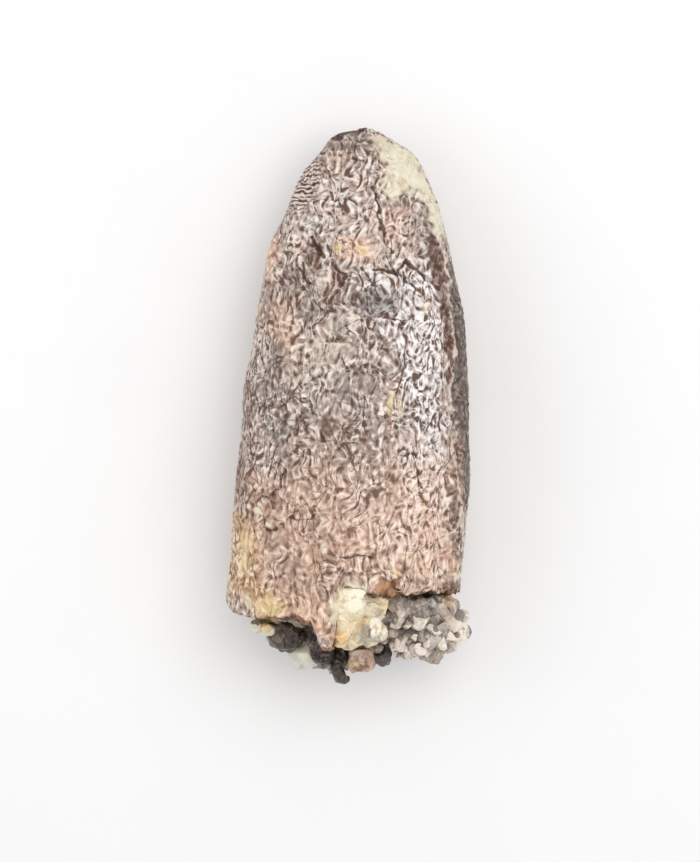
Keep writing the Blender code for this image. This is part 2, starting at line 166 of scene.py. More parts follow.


# The stains, painted sheen, painted glints and painted shade of the outer face as they were
# read off the photograph: the middle, the half width and the half length of each.
PATCHES = (
    Patch(Tone.STRIPED, -2.75, 17.0, 0.85, 1.75, turn=-26, soft=0.4),
    # Painted sheen: lighter places where light glances off the enamel.
    Patch(Tone.GLOSSY, 3.1, 14.1, 1.0, 1.6, strength=0.55, soft=0.6),
    Patch(Tone.GLOSSY, 4.2, 13.3, 0.5, 1.1, turn=-20, strength=0.9, soft=0.6),
    Patch(Tone.GLOSSY, 0.2, 14.2, 2.2, 2.6, strength=0.4, soft=0.7),
    Patch(Tone.GLOSSY, 4.0, -4.6, 2.4, 3.2, strength=0.55, soft=0.7),
    Patch(Tone.GLOSSY, 0.6, 13.2, 1.0, 0.7, strength=0.5, soft=0.6),
    Patch(Tone.GLOSSY, -2.3, 14.2, 1.2, 1.1, strength=0.45, soft=0.6),
    Patch(Tone.GLOSSY, 1.6, 15.2, 0.5, 1.2, strength=0.4, soft=0.6),
    Patch(Tone.GLOSSY, -5.2, 12.5, 0.7, 1.3, turn=-20, strength=0.6, soft=0.6),
    Patch(Tone.GLOSSY, 1.0, -2.4, 1.2, 2.0, strength=0.5, soft=0.7),
    Patch(Tone.GLOSSY, 2.6, -6.6, 1.8, 0.8, strength=0.5, soft=0.6),
    Patch(Tone.GLOSSY, -0.9, 16.4, 1.2, 1.1, strength=0.5, soft=0.6),
    Patch(Tone.GLOSSY, -5.4, 7.3, 0.6, 1.7, strength=0.45, soft=0.7),
    Patch(Tone.GLOSSY, -6.7, -2.4, 0.5, 0.8, strength=0.45, soft=0.6),
    # Painted shade, partly darker stain: the darker places, many of them down the sides.
    Patch(Tone.SHADE_AND_DARK_STAIN, -2.38, 9.25, 0.7, 0.5, strength=0.5, soft=0.6),
    Patch(Tone.SHADE_AND_DARK_STAIN, -3.1, 10.9, 0.75, 0.8, strength=0.6, soft=0.6),
    Patch(Tone.SHADE_AND_DARK_STAIN, 1.9, 9.9, 1.5, 1.0, strength=0.95, soft=0.6),
    Patch(Tone.SHADE_AND_DARK_STAIN, 0.7, 19.7, 1.7, 0.7, strength=0.55, soft=0.6),
    Patch(Tone.SHADE_AND_DARK_STAIN, -2.6, 17.6, 1.0, 1.3, turn=-26, strength=0.5, soft=0.6),
    Patch(Tone.SHADE_AND_DARK_STAIN, 4.6, 13.6, 0.9, 1.3, turn=15, strength=0.5, soft=0.6),
    Patch(Tone.SHADE_AND_DARK_STAIN, -5.0, 5.6, 1.0, 1.6, strength=0.4, soft=0.7),
    Patch(Tone.SHADE_AND_DARK_STAIN, -3.3, 0.6, 1.0, 1.4, strength=0.35, soft=0.7),
    Patch(Tone.SHADE_AND_DARK_STAIN, -1.9, -3.7, 0.8, 0.7, strength=0.4, soft=0.7),
    Patch(Tone.SHADE_AND_DARK_STAIN, -3.2, -6.2, 0.8, 0.6, strength=0.4, soft=0.7),
    Patch(Tone.SHADE_AND_DARK_STAIN, 0.0, -7.1, 1.3, 0.6, strength=0.35, soft=0.7),
    Patch(Tone.SHADE_AND_DARK_STAIN, 6.3, -4.2, 0.7, 1.4, strength=0.4, soft=0.7),
    Patch(Tone.SHADE_AND_DARK_STAIN, 5.5, 4.9, 0.6, 1.0, strength=0.35, soft=0.7),
    Patch(Tone.SHADE_AND_DARK_STAIN, 0.9, -2.2, 1.1, 0.7, strength=0.3, soft=0.7),
    Patch(Tone.SHADE_AND_DARK_STAIN, 1.2, 8.3, 1.2, 0.9, strength=0.4, soft=0.7),
    Patch(Tone.SHADE_AND_DARK_STAIN, 1.0, 5.6, 0.9, 1.0, strength=0.5, soft=0.7),
    Patch(Tone.SHADE_AND_DARK_STAIN, -0.6, 0.9, 0.7, 1.2, strength=0.4, soft=0.7),
    Patch(Tone.SHADE_AND_DARK_STAIN, -2.2, -1.2, 0.9, 0.7, strength=0.35, soft=0.7),
    Patch(Tone.SHADE_AND_DARK_STAIN, -0.6, -2.6, 0.6, 0.8, strength=0.35, soft=0.7),
    Patch(Tone.SHADE_AND_DARK_STAIN, -4.3, -2.2, 0.9, 0.8, strength=0.35, soft=0.7),
    Patch(Tone.SHADE_AND_DARK_STAIN, -2.4, -7.4, 1.5, 0.7, strength=0.35, soft=0.7),
    Patch(Tone.SHADE_AND_DARK_STAIN, -1.8, 9.9, 0.8, 0.7, strength=0.35, soft=0.7),
    Patch(Tone.SHADE_AND_DARK_STAIN, 4.25, 17.0, 0.4, 0.5, strength=0.3, soft=0.7),
    Patch(Tone.SHADE_AND_DARK_STAIN, 3.1, 15.9, 0.7, 0.4, strength=0.5, soft=0.6),
    Patch(Tone.SHADE_AND_DARK_STAIN, -4.3, 7.2, 0.7, 0.7, strength=0.6, soft=0.6),
    Patch(Tone.SHADE_AND_DARK_STAIN, -0.3, 4.5, 0.7, 0.8, strength=0.55, soft=0.7),
    Patch(Tone.SHADE_AND_DARK_STAIN, -0.3, 2.6, 1.1, 1.0, strength=0.6, soft=0.7),
    Patch(Tone.SHADE_AND_DARK_STAIN, -3.5, 2.5, 1.3, 0.8, strength=0.5, soft=0.7),
    Patch(Tone.SHADE_AND_DARK_STAIN, 3.2, 6.1, 0.6, 0.7, strength=0.4, soft=0.7),
    Patch(Tone.SHADE_AND_DARK_STAIN, 3.1, 2.2, 0.5, 0.7, strength=0.35, soft=0.7),
    Patch(Tone.SHADE_AND_DARK_STAIN, -5.5, 4.2, 0.7, 1.6, strength=0.4, soft=0.7),
    Patch(Tone.SHADE_AND_DARK_STAIN, -4.9, 9.4, 0.9, 1.6, strength=0.3, soft=0.7),
    Patch(Tone.SHADE_AND_DARK_STAIN, -4.3, -4.4, 0.8, 1.2, strength=0.3, soft=0.7),
    Patch(Tone.SLATE, -2.95, 17.1, 1.0, 2.0, turn=-26, strength=0.7, soft=0.5),
    Patch(Tone.SLATE, -2.38, 9.29, 0.85, 0.65, strength=1.0, soft=0.5),
    Patch(Tone.SLATE, 0.9, 10.7, 0.95, 1.5, strength=0.8, soft=0.6),
    Patch(Tone.SLATE, 0.5, 6.4, 0.9, 1.8, strength=0.5, soft=0.7),
    Patch(Tone.SLATE, -4.35, 2.3, 1.35, 2.6, strength=0.65, soft=0.7),
    Patch(Tone.SLATE, 0.9, 0.2, 2.0, 2.2, strength=0.45, soft=0.7),
    Patch(Tone.SLATE, -3.6, -6.6, 1.2, 1.6, strength=0.45, soft=0.7),
    Patch(Tone.SLATE, -1.4, -6.8, 0.5, 2.4, strength=0.4, soft=0.7),
    Patch(Tone.ROSE, -4.05, 8.75, 1.1, 1.6, strength=0.6, soft=0.7),
    Patch(Tone.ROSE, -4.9, 12.6, 0.55, 1.4, turn=-20, strength=0.9, soft=0.6),
    Patch(Tone.ROSE, 0.45, 13.2, 1.25, 0.85, strength=0.85, soft=0.5),
    Patch(Tone.ROSE, 3.0, 14.4, 1.1, 1.6, turn=-10, strength=0.5, soft=0.6),
    Patch(Tone.ROSE, 2.3, -5.6, 3.2, 2.2, strength=0.65, soft=0.7),
    Patch(Tone.ROSE, 5.0, -5.0, 1.8, 2.8, strength=0.9, soft=0.7),
    Patch(Tone.ROSE, -1.9, -1.2, 1.2, 1.6, strength=0.45, soft=0.7),
    Patch(Tone.ROSE, 6.3, -6.0, 0.6, 1.0, strength=0.8, soft=0.5),
    Patch(Tone.RUST, 6.2, 2.8, 0.6, 2.4, strength=0.35, soft=0.7),
    Patch(Tone.RUST, -2.05, 12.9, 0.60, 1.0, strength=0.9, soft=0.5),
    Patch(Tone.RUST, -0.65, 11.05, 0.5, 1.45, strength=0.7, soft=0.6),
    Patch(Tone.RUST, -3.3, 11.6, 0.6, 0.5, strength=0.5, soft=0.6),
    Patch(Tone.RUST, -1.34, 2.3, 0.26, 0.85, strength=0.95, soft=0.35),
    Patch(Tone.RUST, -4.2, 6.1, 0.25, 0.5, strength=0.7, soft=0.5),
    Patch(Tone.RUST, -3.5, 4.2, 0.3, 0.6, strength=0.6, soft=0.5),
    Patch(Tone.RUST, -6.65, -1.2, 0.45, 2.8, turn=3, strength=0.7, soft=0.5),
    Patch(Tone.RUST, -6.1, 3.0, 0.4, 2.5, turn=3, strength=0.5, soft=0.5),
    Patch(Tone.UMBER, -2.35, 12.55, 0.20, 0.42, turn=15, strength=0.8, soft=0.5),
    Patch(Tone.UMBER, -1.72, 13.30, 0.18, 0.34, turn=-15, strength=0.8, soft=0.5),
    Patch(Tone.UMBER, -0.43, 7.75, 0.34, 0.30, strength=1.0, soft=0.3),
    Patch(Tone.UMBER, 6.45, -7.5, 0.55, 0.5, strength=1.0, soft=0.4),
    Patch(Tone.UMBER, 3.45, -6.55, 0.5, 0.32, turn=20, strength=0.9, soft=0.4),
    Patch(Tone.UMBER, 4.25, -7.2, 0.6, 0.35, strength=0.5, soft=0.6),
    Patch(Tone.UMBER, 0.0, 19.3, 0.55, 0.45, strength=0.45, soft=0.6),
    Patch(Tone.UMBER, 1.35, 19.0, 0.35, 0.3, strength=0.5, soft=0.5),
    Patch(Tone.PALE, -2.3, -3.1, 0.5, 0.25, turn=15, strength=0.6, soft=0.6),
    Patch(Tone.PALE, -6.9, -8.3, 0.6, 0.7, strength=0.6, soft=0.5),
    Patch(Tone.GOLD, 2.57, 3.75, 0.17, 0.6, strength=1.0, soft=0.5),
    Patch(Tone.GOLD, 3.15, 3.6, 0.22, 0.3, strength=0.8, soft=0.5),
    Patch(Tone.GOLD, 4.22, 8.6, 0.15, 0.16, strength=0.8, soft=0.5),
    Patch(Tone.GOLD, 4.7, 9.65, 0.17, 0.22, strength=0.8, soft=0.5),
    Patch(Tone.GOLD, -0.67, 13.26, 0.26, 0.24, strength=1.0, soft=0.4),
    Patch(Tone.GOLD, 0.8, 13.07, 0.26, 0.30, strength=1.0, soft=0.4),
    Patch(Tone.GOLD, 4.49, -2.8, 0.15, 0.35, strength=0.8, soft=0.5),
    Patch(Tone.GOLD, 4.0, -5.8, 0.4, 0.25, strength=0.5, soft=0.5),
    Patch(Tone.GOLD, 2.95, -6.55, 0.62, 0.13, turn=-36, strength=0.9, soft=0.4),
    Patch(Tone.GOLD, -4.8, -8.7, 0.75, 0.6, strength=0.8, soft=0.5),
    Patch(Tone.GOLD, -6.3, -5.3, 0.35, 1.4, strength=0.55, soft=0.5),
    Patch(Tone.CREAM, -6.1, -8.5, 0.3, 0.38, turn=15, strength=1.0, soft=0.3),
    Patch(Tone.CREAM, 6.75, -6.75, 0.18, 0.2, strength=0.9, soft=0.4),
    # Painted glints: the next six small white spots of light.
    Patch(Tone.CREAM, -2.5, 12.15, 0.12, 0.15, strength=1.0, soft=0.4),
    Patch(Tone.CREAM, -1.53, 12.25, 0.09, 0.26, turn=-10, strength=1.0, soft=0.4),
    Patch(Tone.CREAM, -2.5, 2.75, 0.09, 0.11, strength=1.0, soft=0.3),
    Patch(Tone.CREAM, -5.45, -2.75, 0.10, 0.30, strength=1.0, soft=0.3),
    Patch(Tone.CREAM, -4.95, -3.6, 0.12, 0.20, strength=1.0, soft=0.3),
    Patch(Tone.CREAM, -1.4, -5.2, 0.14, 0.14, strength=1.0, soft=0.3),
    Patch(Tone.CREAM, -3.6, 2.5, 0.14, 0.25, turn=35, strength=0.9, soft=0.4),
)

# The steep right side face, which painted shade darkens.
SIDE_FACE = (
    (6.05, 12.53), (6.17, 11.30), (6.23, 9.96), (6.35, 8.74), (6.54, 7.03),
    (6.42, 5.68), (6.17, 4.46), (6.35, 3.60), (6.78, 2.51), (7.03, -0.31),
    (7.15, -3.36), (7.03, -5.80), (8.50, -5.80), (8.50, 12.53),
)

AREAS = (
    Area(
        Tone.CREAM,
        (
            (1.71, 20.30), (2.44, 20.10), (3.18, 19.85), (3.95, 19.20), (4.60, 18.21),
            (5.10, 17.17), (5.50, 16.19), (5.80, 15.21), (6.00, 14.24), (5.56, 13.99),
            (5.19, 14.97), (4.83, 15.95), (4.34, 16.56), (3.79, 16.80), (3.12, 16.37),
            (2.51, 16.37), (2.20, 16.68), (2.63, 17.41), (2.38, 18.15), (2.32, 18.76),
        ),
        soft=0.3,
        wander=0.45,
    ),
    Area(
        Tone.CREAM,
        ((-0.95, -9.1), (-0.2, -8.9), (0.1, -11.3), (-0.5, -11.3), (-0.75, -10.4)),
        soft=0.12,
        strength=0.9,
    ),
    Area(
        Tone.GOLD,
        ((-0.7, -10.1), (0.0, -10.0), (0.1, -11.3), (-0.5, -11.3)),
        soft=0.15,
        strength=0.9,
    ),
    Area(
        Tone.PALE,
        (
            (-2.87, 10.08), (-1.59, 10.33), (-0.18, 9.84), (0.24, 8.49), (0.18, 6.90),
            (-0.06, 4.95), (-0.61, 3.73), (-2.20, 3.48), (-2.93, 4.95), (-2.75, 7.03),
            (-3.12, 8.49),
        ),
        soft=0.7,
        strength=0.8,
    ),
    Area(
        Tone.OCHRE,
        (
            (-7.80, -2.87), (-6.60, -2.63), (-5.87, -3.73), (-5.44, -5.32), (-5.50, -6.90),
            (-4.77, -7.76), (-3.91, -8.25), (-3.91, -9.60), (-5.25, -9.60), (-6.11, -8.25),
            (-6.84, -7.76), (-7.80, -7.64),
        ),
        soft=0.6,
        strength=0.9,
    ),
    Area(
        Tone.RUST,
        (
            (4.95, 15.00), (5.62, 13.60), (6.05, 11.60), (6.25, 9.96), (6.40, 8.74),
            (6.60, 7.03), (6.48, 5.50), (6.10, 4.40), (5.95, 5.50), (5.90, 7.64),
            (5.62, 9.78), (5.10, 11.50), (4.85, 12.80),
        ),
        soft=0.15,
    ),
    Area(
        Tone.RUST,
        (
            (6.35, 2.75), (6.72, 2.51), (6.97, -0.31), (7.03, -3.36), (6.84, -5.80),
            (6.54, -5.56), (6.54, -2.14), (6.35, 0.92),
        ),
        soft=0.3,
        strength=0.8,
    ),
    # Painted shade on the steep side face, with a little grey.
    Area(Tone.SHADE_AND_DARK_STAIN, SIDE_FACE, soft=0.15, wander=0.1),
    Area(Tone.SLATE, SIDE_FACE, soft=0.15, strength=0.2, wander=0.1),
    # Painted sheen right of the middle, where the light falls most, in these two areas.
    Area(
        Tone.GLOSSY,
        (
            (3.06, 12.04), (5.13, 12.40), (5.87, 10.08), (5.99, 6.42), (6.23, 2.14),
            (6.35, -3.36), (5.99, -6.42), (3.42, -6.54), (3.06, -2.14), (3.42, 2.14),
            (2.93, 7.03),
        ),
        soft=0.9,
    ),
    Area(
        Tone.GLOSSY,
        ((1.2, 11.7), (4.7, 11.5), (4.5, 8.2), (2.2, 8.0), (1.0, 9.3)),
        soft=0.5,
    ),
    Area(
        Tone.UMBER,
        ((-0.95, 19.7), (-0.2, 20.12), (0.6, 20.36), (1.6, 20.36), (1.6, 21.2), (-1.3, 21.0)),
        soft=0.1,
        strength=0.9,
    ),
    Area(
        Tone.ROSE,
        ((-6.6, -0.8), (-2.0, 0.2), (2.0, 0.6), (6.6, 0.2), (6.9, -9.6), (-7.2, -9.6)),
        soft=2.2,
        strength=0.7,
    ),
    Area(
        Tone.ROSE,
        ((-4.3, -5.2), (-1.4, -5.0), (-0.6, -11.0), (-3.8, -10.2), (-4.4, -8.0)),
        soft=0.8,
        strength=1.0,
    ),
    Area(
        Tone.SPALL,
        ((1.55, -8.6), (2.0, -7.5), (2.45, -6.75), (2.9, -7.2), (3.2, -8.0), (3.2, -8.7)),
        soft=0.12,
    ),
    Area(
        Tone.CREAM,
        ((-0.95, -8.2), (-0.3, -7.35), (1.3, -7.3), (1.3, -9.0), (-0.95, -9.6)),
        soft=0.2,
        strength=0.9,
    ),
)

LINES = (
    Line(LineKind.CRACK, ((-0.86, 19.9), (-0.18, 20.32), (0.61, 20.6), (1.53, 20.7)), width=0.24),
    Line(LineKind.CRACK, ((-2.26, 14.0), (-1.95, 13.3), (-1.40, 12.7)), width=0.16, depth=0.10),
    Line(LineKind.CRACK, ((-2.80, 12.3), (-2.72, 11.6), (-2.26, 11.1)), width=0.16, depth=0.10),
    Line(LineKind.CRACK, ((-0.90, 12.2), (-0.15, 11.8), (-0.35, 11.0)), width=0.16, depth=0.10),
    Line(LineKind.CRACK, ((0.24, 18.82), (0.61, 18.64), (1.04, 18.57)), width=0.09, depth=0.08),
    Line(
        LineKind.CRACK,
        ((1.47, 16.99), (1.83, 15.95), (2.02, 14.85), (2.32, 13.56), (2.81, 12.95)),
        width=0.11,
        depth=0.10,
    ),
    Line(
        LineKind.CRACK,
        (
            (1.65, 11.98), (2.32, 11.91), (3.06, 11.73), (3.42, 12.40), (3.91, 12.16),
            (4.28, 11.98), (4.70, 11.43),
        ),
        width=0.19,
        depth=0.18,
        wander=0.06,
    ),
    Line(LineKind.CRACK, ((-4.34, -3.67), (-3.54, -3.30), (-2.08, -3.24)), width=0.08, depth=0.08),
    Line(LineKind.CRACK, ((-0.43, -5.68), (0.55, -5.62), (1.59, -5.62)), width=0.08, depth=0.08),
    Line(LineKind.CRACK, ((2.14, 9.04), (2.93, 8.86), (3.79, 8.80)), width=0.07, depth=0.06),
    Line(
        LineKind.CRACK,
        ((3.48, 11.49), (4.03, 10.81), (4.09, 9.90), (3.73, 9.29)),
        width=0.08,
        depth=0.08,
    ),
    Line(
        LineKind.CRACK,
        ((3.36, 0.67), (4.09, 0.61), (4.34, -0.67), (4.52, -1.53)),
        width=0.07,
        depth=0.05,
    ),
    Line(LineKind.CRACK, ((-3.85, -0.31), (-4.15, -1.28), (-4.64, -1.89)), width=0.09, depth=0.08),
    Line(LineKind.CRACK, ((-4.15, 3.73), (-3.18, 4.09), (-2.38, 3.85)), width=0.08, depth=0.05),
    Line(LineKind.CRACK, ((-5.30, -3.00), (-5.0, -3.95), (-4.4, -4.0)), width=0.09, depth=0.10),
    Line(LineKind.CRACK, ((-5.6, -2.3), (-5.2, -1.9), (-4.9, -2.1)), width=0.09, depth=0.10),
    Line(LineKind.SEAM, ((1.28, 3.36), (1.34, -0.31), (1.22, -3.97), (1.34, -8.0)), width=0.05),
    Line(LineKind.SEAM, ((2.38, 3.24), (2.32, -0.31), (2.44, -4.58), (2.38, -7.6)), width=0.05),
    Line(LineKind.SEAM, ((-0.43, -2.63), (-0.43, -5.99)), width=0.05),
    Line(
        LineKind.PALE_LINE,
        (
            (5.32, 14.85), (5.68, 13.75), (5.99, 12.40), (6.17, 11.30), (6.23, 9.96),
            (6.35, 8.74), (6.54, 7.03), (6.42, 5.68), (6.17, 4.46), (6.11, 3.48),
            (6.35, 1.53), (6.72, -0.92), (6.97, -3.36), (7.09, -5.56),
        ),
        width=0.07,
        depth=-0.05,
        wander=0.05,
    ),
    Line(LineKind.PALE_LINE, ((-2.02, 7.52), (-0.98, 7.33), (0.18, 7.33)), width=0.08, depth=-0.04),
    Line(LineKind.PALE_LINE, ((-2.32, 5.44), (-2.87, 4.58), (-3.30, 3.36)), width=0.05),
    Line(LineKind.PALE_LINE, ((-1.7, -3.15), (-1.3, -3.3), (-0.6, -3.0)), width=0.06),
)

# The umber patches of the matrix are painted shadow in its recesses, slits and hollows, partly darker
# stone.
MATRIX_PATCHES = (
    Patch(Tone.UMBER, 4.70, -10.30, 1.90, 1.20, strength=0.55, soft=0.3),
    Patch(Tone.UMBER, -1.60, -11.50, 0.90, 0.80, strength=1.0, soft=0.3),
    Patch(Tone.UMBER, -0.60, -11.75, 0.75, 0.75, strength=1.0, soft=0.4),
    Patch(Tone.UMBER, 4.40, -7.90, 1.40, 0.30, strength=1.0, soft=0.3),
    Patch(Tone.UMBER, -2.40, -10.30, 0.80, 0.70, strength=1.0, soft=0.4),
    Patch(Tone.UMBER, -1.60, -10.60, 0.80, 0.30, turn=-35, strength=0.9, soft=0.5),
    Patch(Tone.UMBER, 4.45, -9.70, 0.60, 0.12, strength=0.95, soft=0.4),
    Patch(Tone.UMBER, 2.20, -10.90, 0.35, 0.55, strength=0.7, soft=0.5),
    Patch(Tone.SLATE, 3.90, -8.40, 1.80, 0.50, strength=0.55, soft=0.4),
    Patch(Tone.SLATE, 2.60, -9.40, 0.75, 0.80, strength=0.9, soft=0.4),
    Patch(Tone.SLATE, 3.20, -11.10, 1.00, 0.80, strength=0.7, soft=0.5),
    Patch(Tone.OCHRE, 6.10, -8.35, 0.35, 0.45, strength=0.7, soft=0.4),
    Patch(Tone.CREAM, 5.45, -8.40, 0.35, 0.40, strength=0.55, soft=0.4),
    Patch(Tone.GOLD, 2.00, -8.20, 0.75, 0.22, turn=-20, strength=0.6, soft=0.5),
    Patch(Tone.OCHRE, -5.30, -8.90, 1.60, 0.50, strength=0.5, soft=0.6),
    Patch(Tone.GOLD, -4.70, -9.65, 0.40, 0.40, strength=0.9, soft=0.4),
)

CALCITE_PATCHES = (
    Patch(Tone.PALE, 0.45, -8.20, 0.95, 0.85, strength=1.0, soft=0.4),
    Patch(Tone.PALE, -0.45, -9.40, 0.35, 0.80, strength=0.8, soft=0.4),
    Patch(Tone.GOLD, -0.45, -10.55, 0.42, 0.55, strength=1.0, soft=0.4),
    Patch(Tone.GOLD, -0.80, -9.70, 0.20, 0.60, strength=0.6, soft=0.5),
    Patch(Tone.OCHRE, 1.90, -8.45, 0.70, 0.25, turn=-15, strength=0.75, soft=0.5),
    Patch(Tone.SLATE, 1.30, -10.35, 0.85, 0.60, strength=0.85, soft=0.4),
    Patch(Tone.UMBER, 1.65, -9.05, 0.28, 0.30, strength=0.45, soft=0.4),
    Patch(Tone.UMBER, 0.90, -9.70, 0.15, 0.50, turn=-12, strength=0.4, soft=0.5),
    Patch(Tone.CREAM, 1.75, -9.95, 0.48, 0.62, strength=1.0, soft=0.15),
)

NODULE_PATCHES = (
    Patch(Tone.OCHRE, -3.55, -9.45, 0.50, 0.28, strength=1.0, soft=0.4),
    Patch(Tone.SLATE, -3.10, -10.00, 0.40, 0.30, strength=0.7, soft=0.4),
    Patch(Tone.SLATE, 2.00, -10.95, 0.45, 0.35, strength=0.9, soft=0.3),
    Patch(Tone.UMBER, -0.55, -12.40, 0.70, 1.00, strength=0.6, soft=0.4),
    Patch(Tone.OCHRE, -0.35, -13.00, 0.20, 0.15, strength=0.6, soft=0.5),
)

CHERT_PATCHES = (
    Patch(Tone.GOLD, -5.00, -9.90, 0.28, 0.30, strength=0.6, soft=0.4),
    Patch(Tone.OCHRE, -4.75, -9.55, 0.35, 0.45, strength=0.8, soft=0.4),
)

FELDSPAR_PATCHES = (
    Patch(Tone.GOLD, 0.60, -12.15, 0.60, 0.25, strength=0.4, soft=0.6),
    Patch(Tone.PALE, 0.70, -11.30, 0.40, 0.30, strength=0.4, soft=0.6),
    Patch(Tone.UMBER, 0.30, -11.90, 0.25, 0.30, strength=0.4, soft=0.5),
)

QUARTZ_PATCHES = (
    Patch(Tone.PALE, -2.70, -11.20, 0.50, 0.50, strength=0.8, soft=0.5),
    Patch(Tone.OCHRE, -1.75, -11.60, 0.30, 0.60, strength=0.5, soft=0.5),
)


def smooth(values: np.ndarray, low: float, high: float) -> np.ndarray:
    """Eases values from 0 at low to 1 at high, where low may be the larger one.

    Args:
        values: The values to ease.
        low: The value that gives 0.
        high: The value that gives 1.

    Returns:
        The eased values.
    """
    share = np.clip((values - low) / (high - low), 0.0, 1.0)
    return share * share * (3.0 - 2.0 * share)


def seen_from_above(points: np.ndarray) -> np.ndarray:
    """Moves points along the line of sight onto the plane of the tooth's widest line.

    Args:
        points: Points in millimetres, one row each.

    Returns:
        Their X and Y on that plane.
    """
    eye = np.array(EYE[:2])
    nearness = (EYE.z - WIDEST) / (EYE.z - points[:, 2])
    return eye + (points[:, :2] - eye) * nearness[:, None]


def distance_to_path(places: np.ndarray, path: np.ndarray) -> np.ndarray:
    """Measures how far places lie from a line of straight stretches.

    Args:
        places: X and Y of each place.
        path: X and Y of the line's points.

    Returns:
        The distance of each place to the nearest stretch.
    """
    nearest = np.full(len(places), np.inf)
    for start, end in zip(path, path[1:]):
        along = end - start
        share = np.clip(((places - start) @ along) / (along @ along), 0.0, 1.0)
        away = places - start - share[:, None] * along
        nearest = np.minimum(nearest, np.linalg.norm(away, axis=1))
    return nearest


def inside_outline(places: np.ndarray, outline: np.ndarray) -> np.ndarray:
    """Tells which places lie inside a closed outline.

    Args:
        places: X and Y of each place.
        outline: X and Y of the outline's points.

    Returns:
        True for each place inside.
    """
    inside = np.zeros(len(places), bool)
    for (x0, y0), (x1, y1) in zip(outline, np.roll(outline, -1, axis=0)):
        spans = (y0 > places[:, 1]) != (y1 > places[:, 1])
        rise = y1 - y0 if y1 != y0 else 1.0
        crossing = x0 + (places[:, 1] - y0) * (x1 - x0) / rise
        inside ^= spans & (places[:, 0] < crossing)
    return inside


@dataclass
class Noise:
    """Smooth random values that fill a box, all lumps of one size, for any surface to read."""

    cells: tuple[int, ...]
    spread: float
    apart: tuple[float, ...]
    seed: int
    cells_per_wave: float = 8.0

    def __post_init__(self) -> None:
        """Fills the box with white noise and keeps only what is near one wavelength."""
        white = np.random.default_rng(self.seed).standard_normal(self.cells)
        counts = [np.fft.fftfreq(n) for n in self.cells[:-1]] + [np.fft.rfftfreq(self.cells[-1])]
        steps = np.meshgrid(*counts, indexing="ij")
        waves = np.sqrt(sum(step**2 for step in steps)) * self.cells_per_wave
        band = np.exp(-(((waves - 1.0) / self.spread) ** 2))
        values = np.fft.irfftn(np.fft.rfftn(white) * band, s=self.cells)
        self.values = (values / values.std()).astype(np.float32)

    def read(self, places: np.ndarray, wave: float, along: float = 1.0, key: int = 0) -> np.ndarray:
        """Reads the noise at places.

        Args:
            places: Places in millimetres, one row each.
            wave: The distance from lump to lump in millimetres.
            along: How many times longer the lumps are in the second direction.
            key: A number that gives each use its own part of the box.

        Returns:
            One value for each place, spread about 0 with a standard deviation of 1.
        """
        stretch = np.ones(len(self.cells))
        stretch[1] = along
        shift = np.array(self.apart) * key + 0.5
        cells = places / (wave * stretch) * self.cells_per_wave + shift
        low = np.floor(cells).astype(int)
        part = cells - low
        found = np.zeros(len(places))
        for corner in np.ndindex((2,) * len(self.cells)):
            at = tuple((low[:, n] + corner[n]) % count for n, count in enumerate(self.cells))
            share = np.ones(len(places))
            for n, upper in enumerate(corner):
                share = share * (part[:, n] if upper else 1.0 - part[:, n])
            found += share * self.values[at]
        return found


# Lumps that fill space, and wavy strokes on a sheet for the unrolled skin.
NOISE = Noise(cells=(128, 192, 96), spread=0.26, apart=(37.3, 51.7, 23.9), seed=7)
STROKES = Noise(cells=(1024, 1024), spread=0.36, apart=(137.3, 251.7), seed=11)


def tone_masks(
    seen: np.ndarray,
    drift: np.ndarray,
    face: np.ndarray,
    patches: tuple[Patch, ...],
    areas: tuple[Area, ...] = (),
) -> dict[Tone, np.ndarray]:
    """Works out where each stain, worn place, painted sheen and painted shade lies.

    Args:
        seen: The places of the points, seen from above.
        drift: Noise that makes the outlines wander.
        face: How much each point belongs to the side that is seen from above.
        patches: The oval places.
        areas: The places with outlines of their own.

    Returns:
        A value from 0 to 1 at each point for every tone.
    """
    masks = {tone: np.zeros(len(seen)) for tone in Tone}
    for patch in patches:
        turn = math.radians(patch.turn)
        away = seen + PATCH_WANDER * drift - np.array((patch.x, patch.y))
        across = (away[:, 0] * math.cos(turn) + away[:, 1] * math.sin(turn)) / patch.across
        along = (away[:, 1] * math.cos(turn) - away[:, 0] * math.sin(turn)) / patch.along
        share = smooth(np.hypot(across, along), 1.0 + patch.soft, 1.0 - patch.soft)
        masks[patch.tone] = np.maximum(masks[patch.tone], patch.strength * share * face)
    for area in areas:
        outline = np.array(area.outline)
        places = seen + area.wander * 0.5 * drift
        edge = distance_to_path(places, np.concatenate((outline, outline[:1])))
        edge = np.where(inside_outline(places, outline), edge, -edge)
        share = smooth(edge, -area.soft, area.soft)
        masks[area.tone] = np.maximum(masks[area.tone], area.strength * share * face)
    return masks


class SolidProbe:
    """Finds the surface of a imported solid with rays, in millimetres."""

    def __init__(self, node: str) -> None:
        """Reads the solid.

        Args:
            node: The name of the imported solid.
        """
        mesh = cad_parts[node].data
        self.points = [vertex.co / MM for vertex in mesh.vertices]
        faces = [tuple(polygon.vertices) for polygon in mesh.polygons]
        self.tree = BVHTree.FromPolygons(self.points, faces)

    def reach(self, start: Vector, way: Vector, limit: float) -> float | None:
        """Measures how far a ray goes before it meets the solid.

        Args:
            start: Where the ray starts.
            way: Its direction, of length 1.
            limit: How far it may go.

        Returns:
            The distance, or None if it meets nothing.
        """
        return self.tree.ray_cast(start, way, limit)[3]


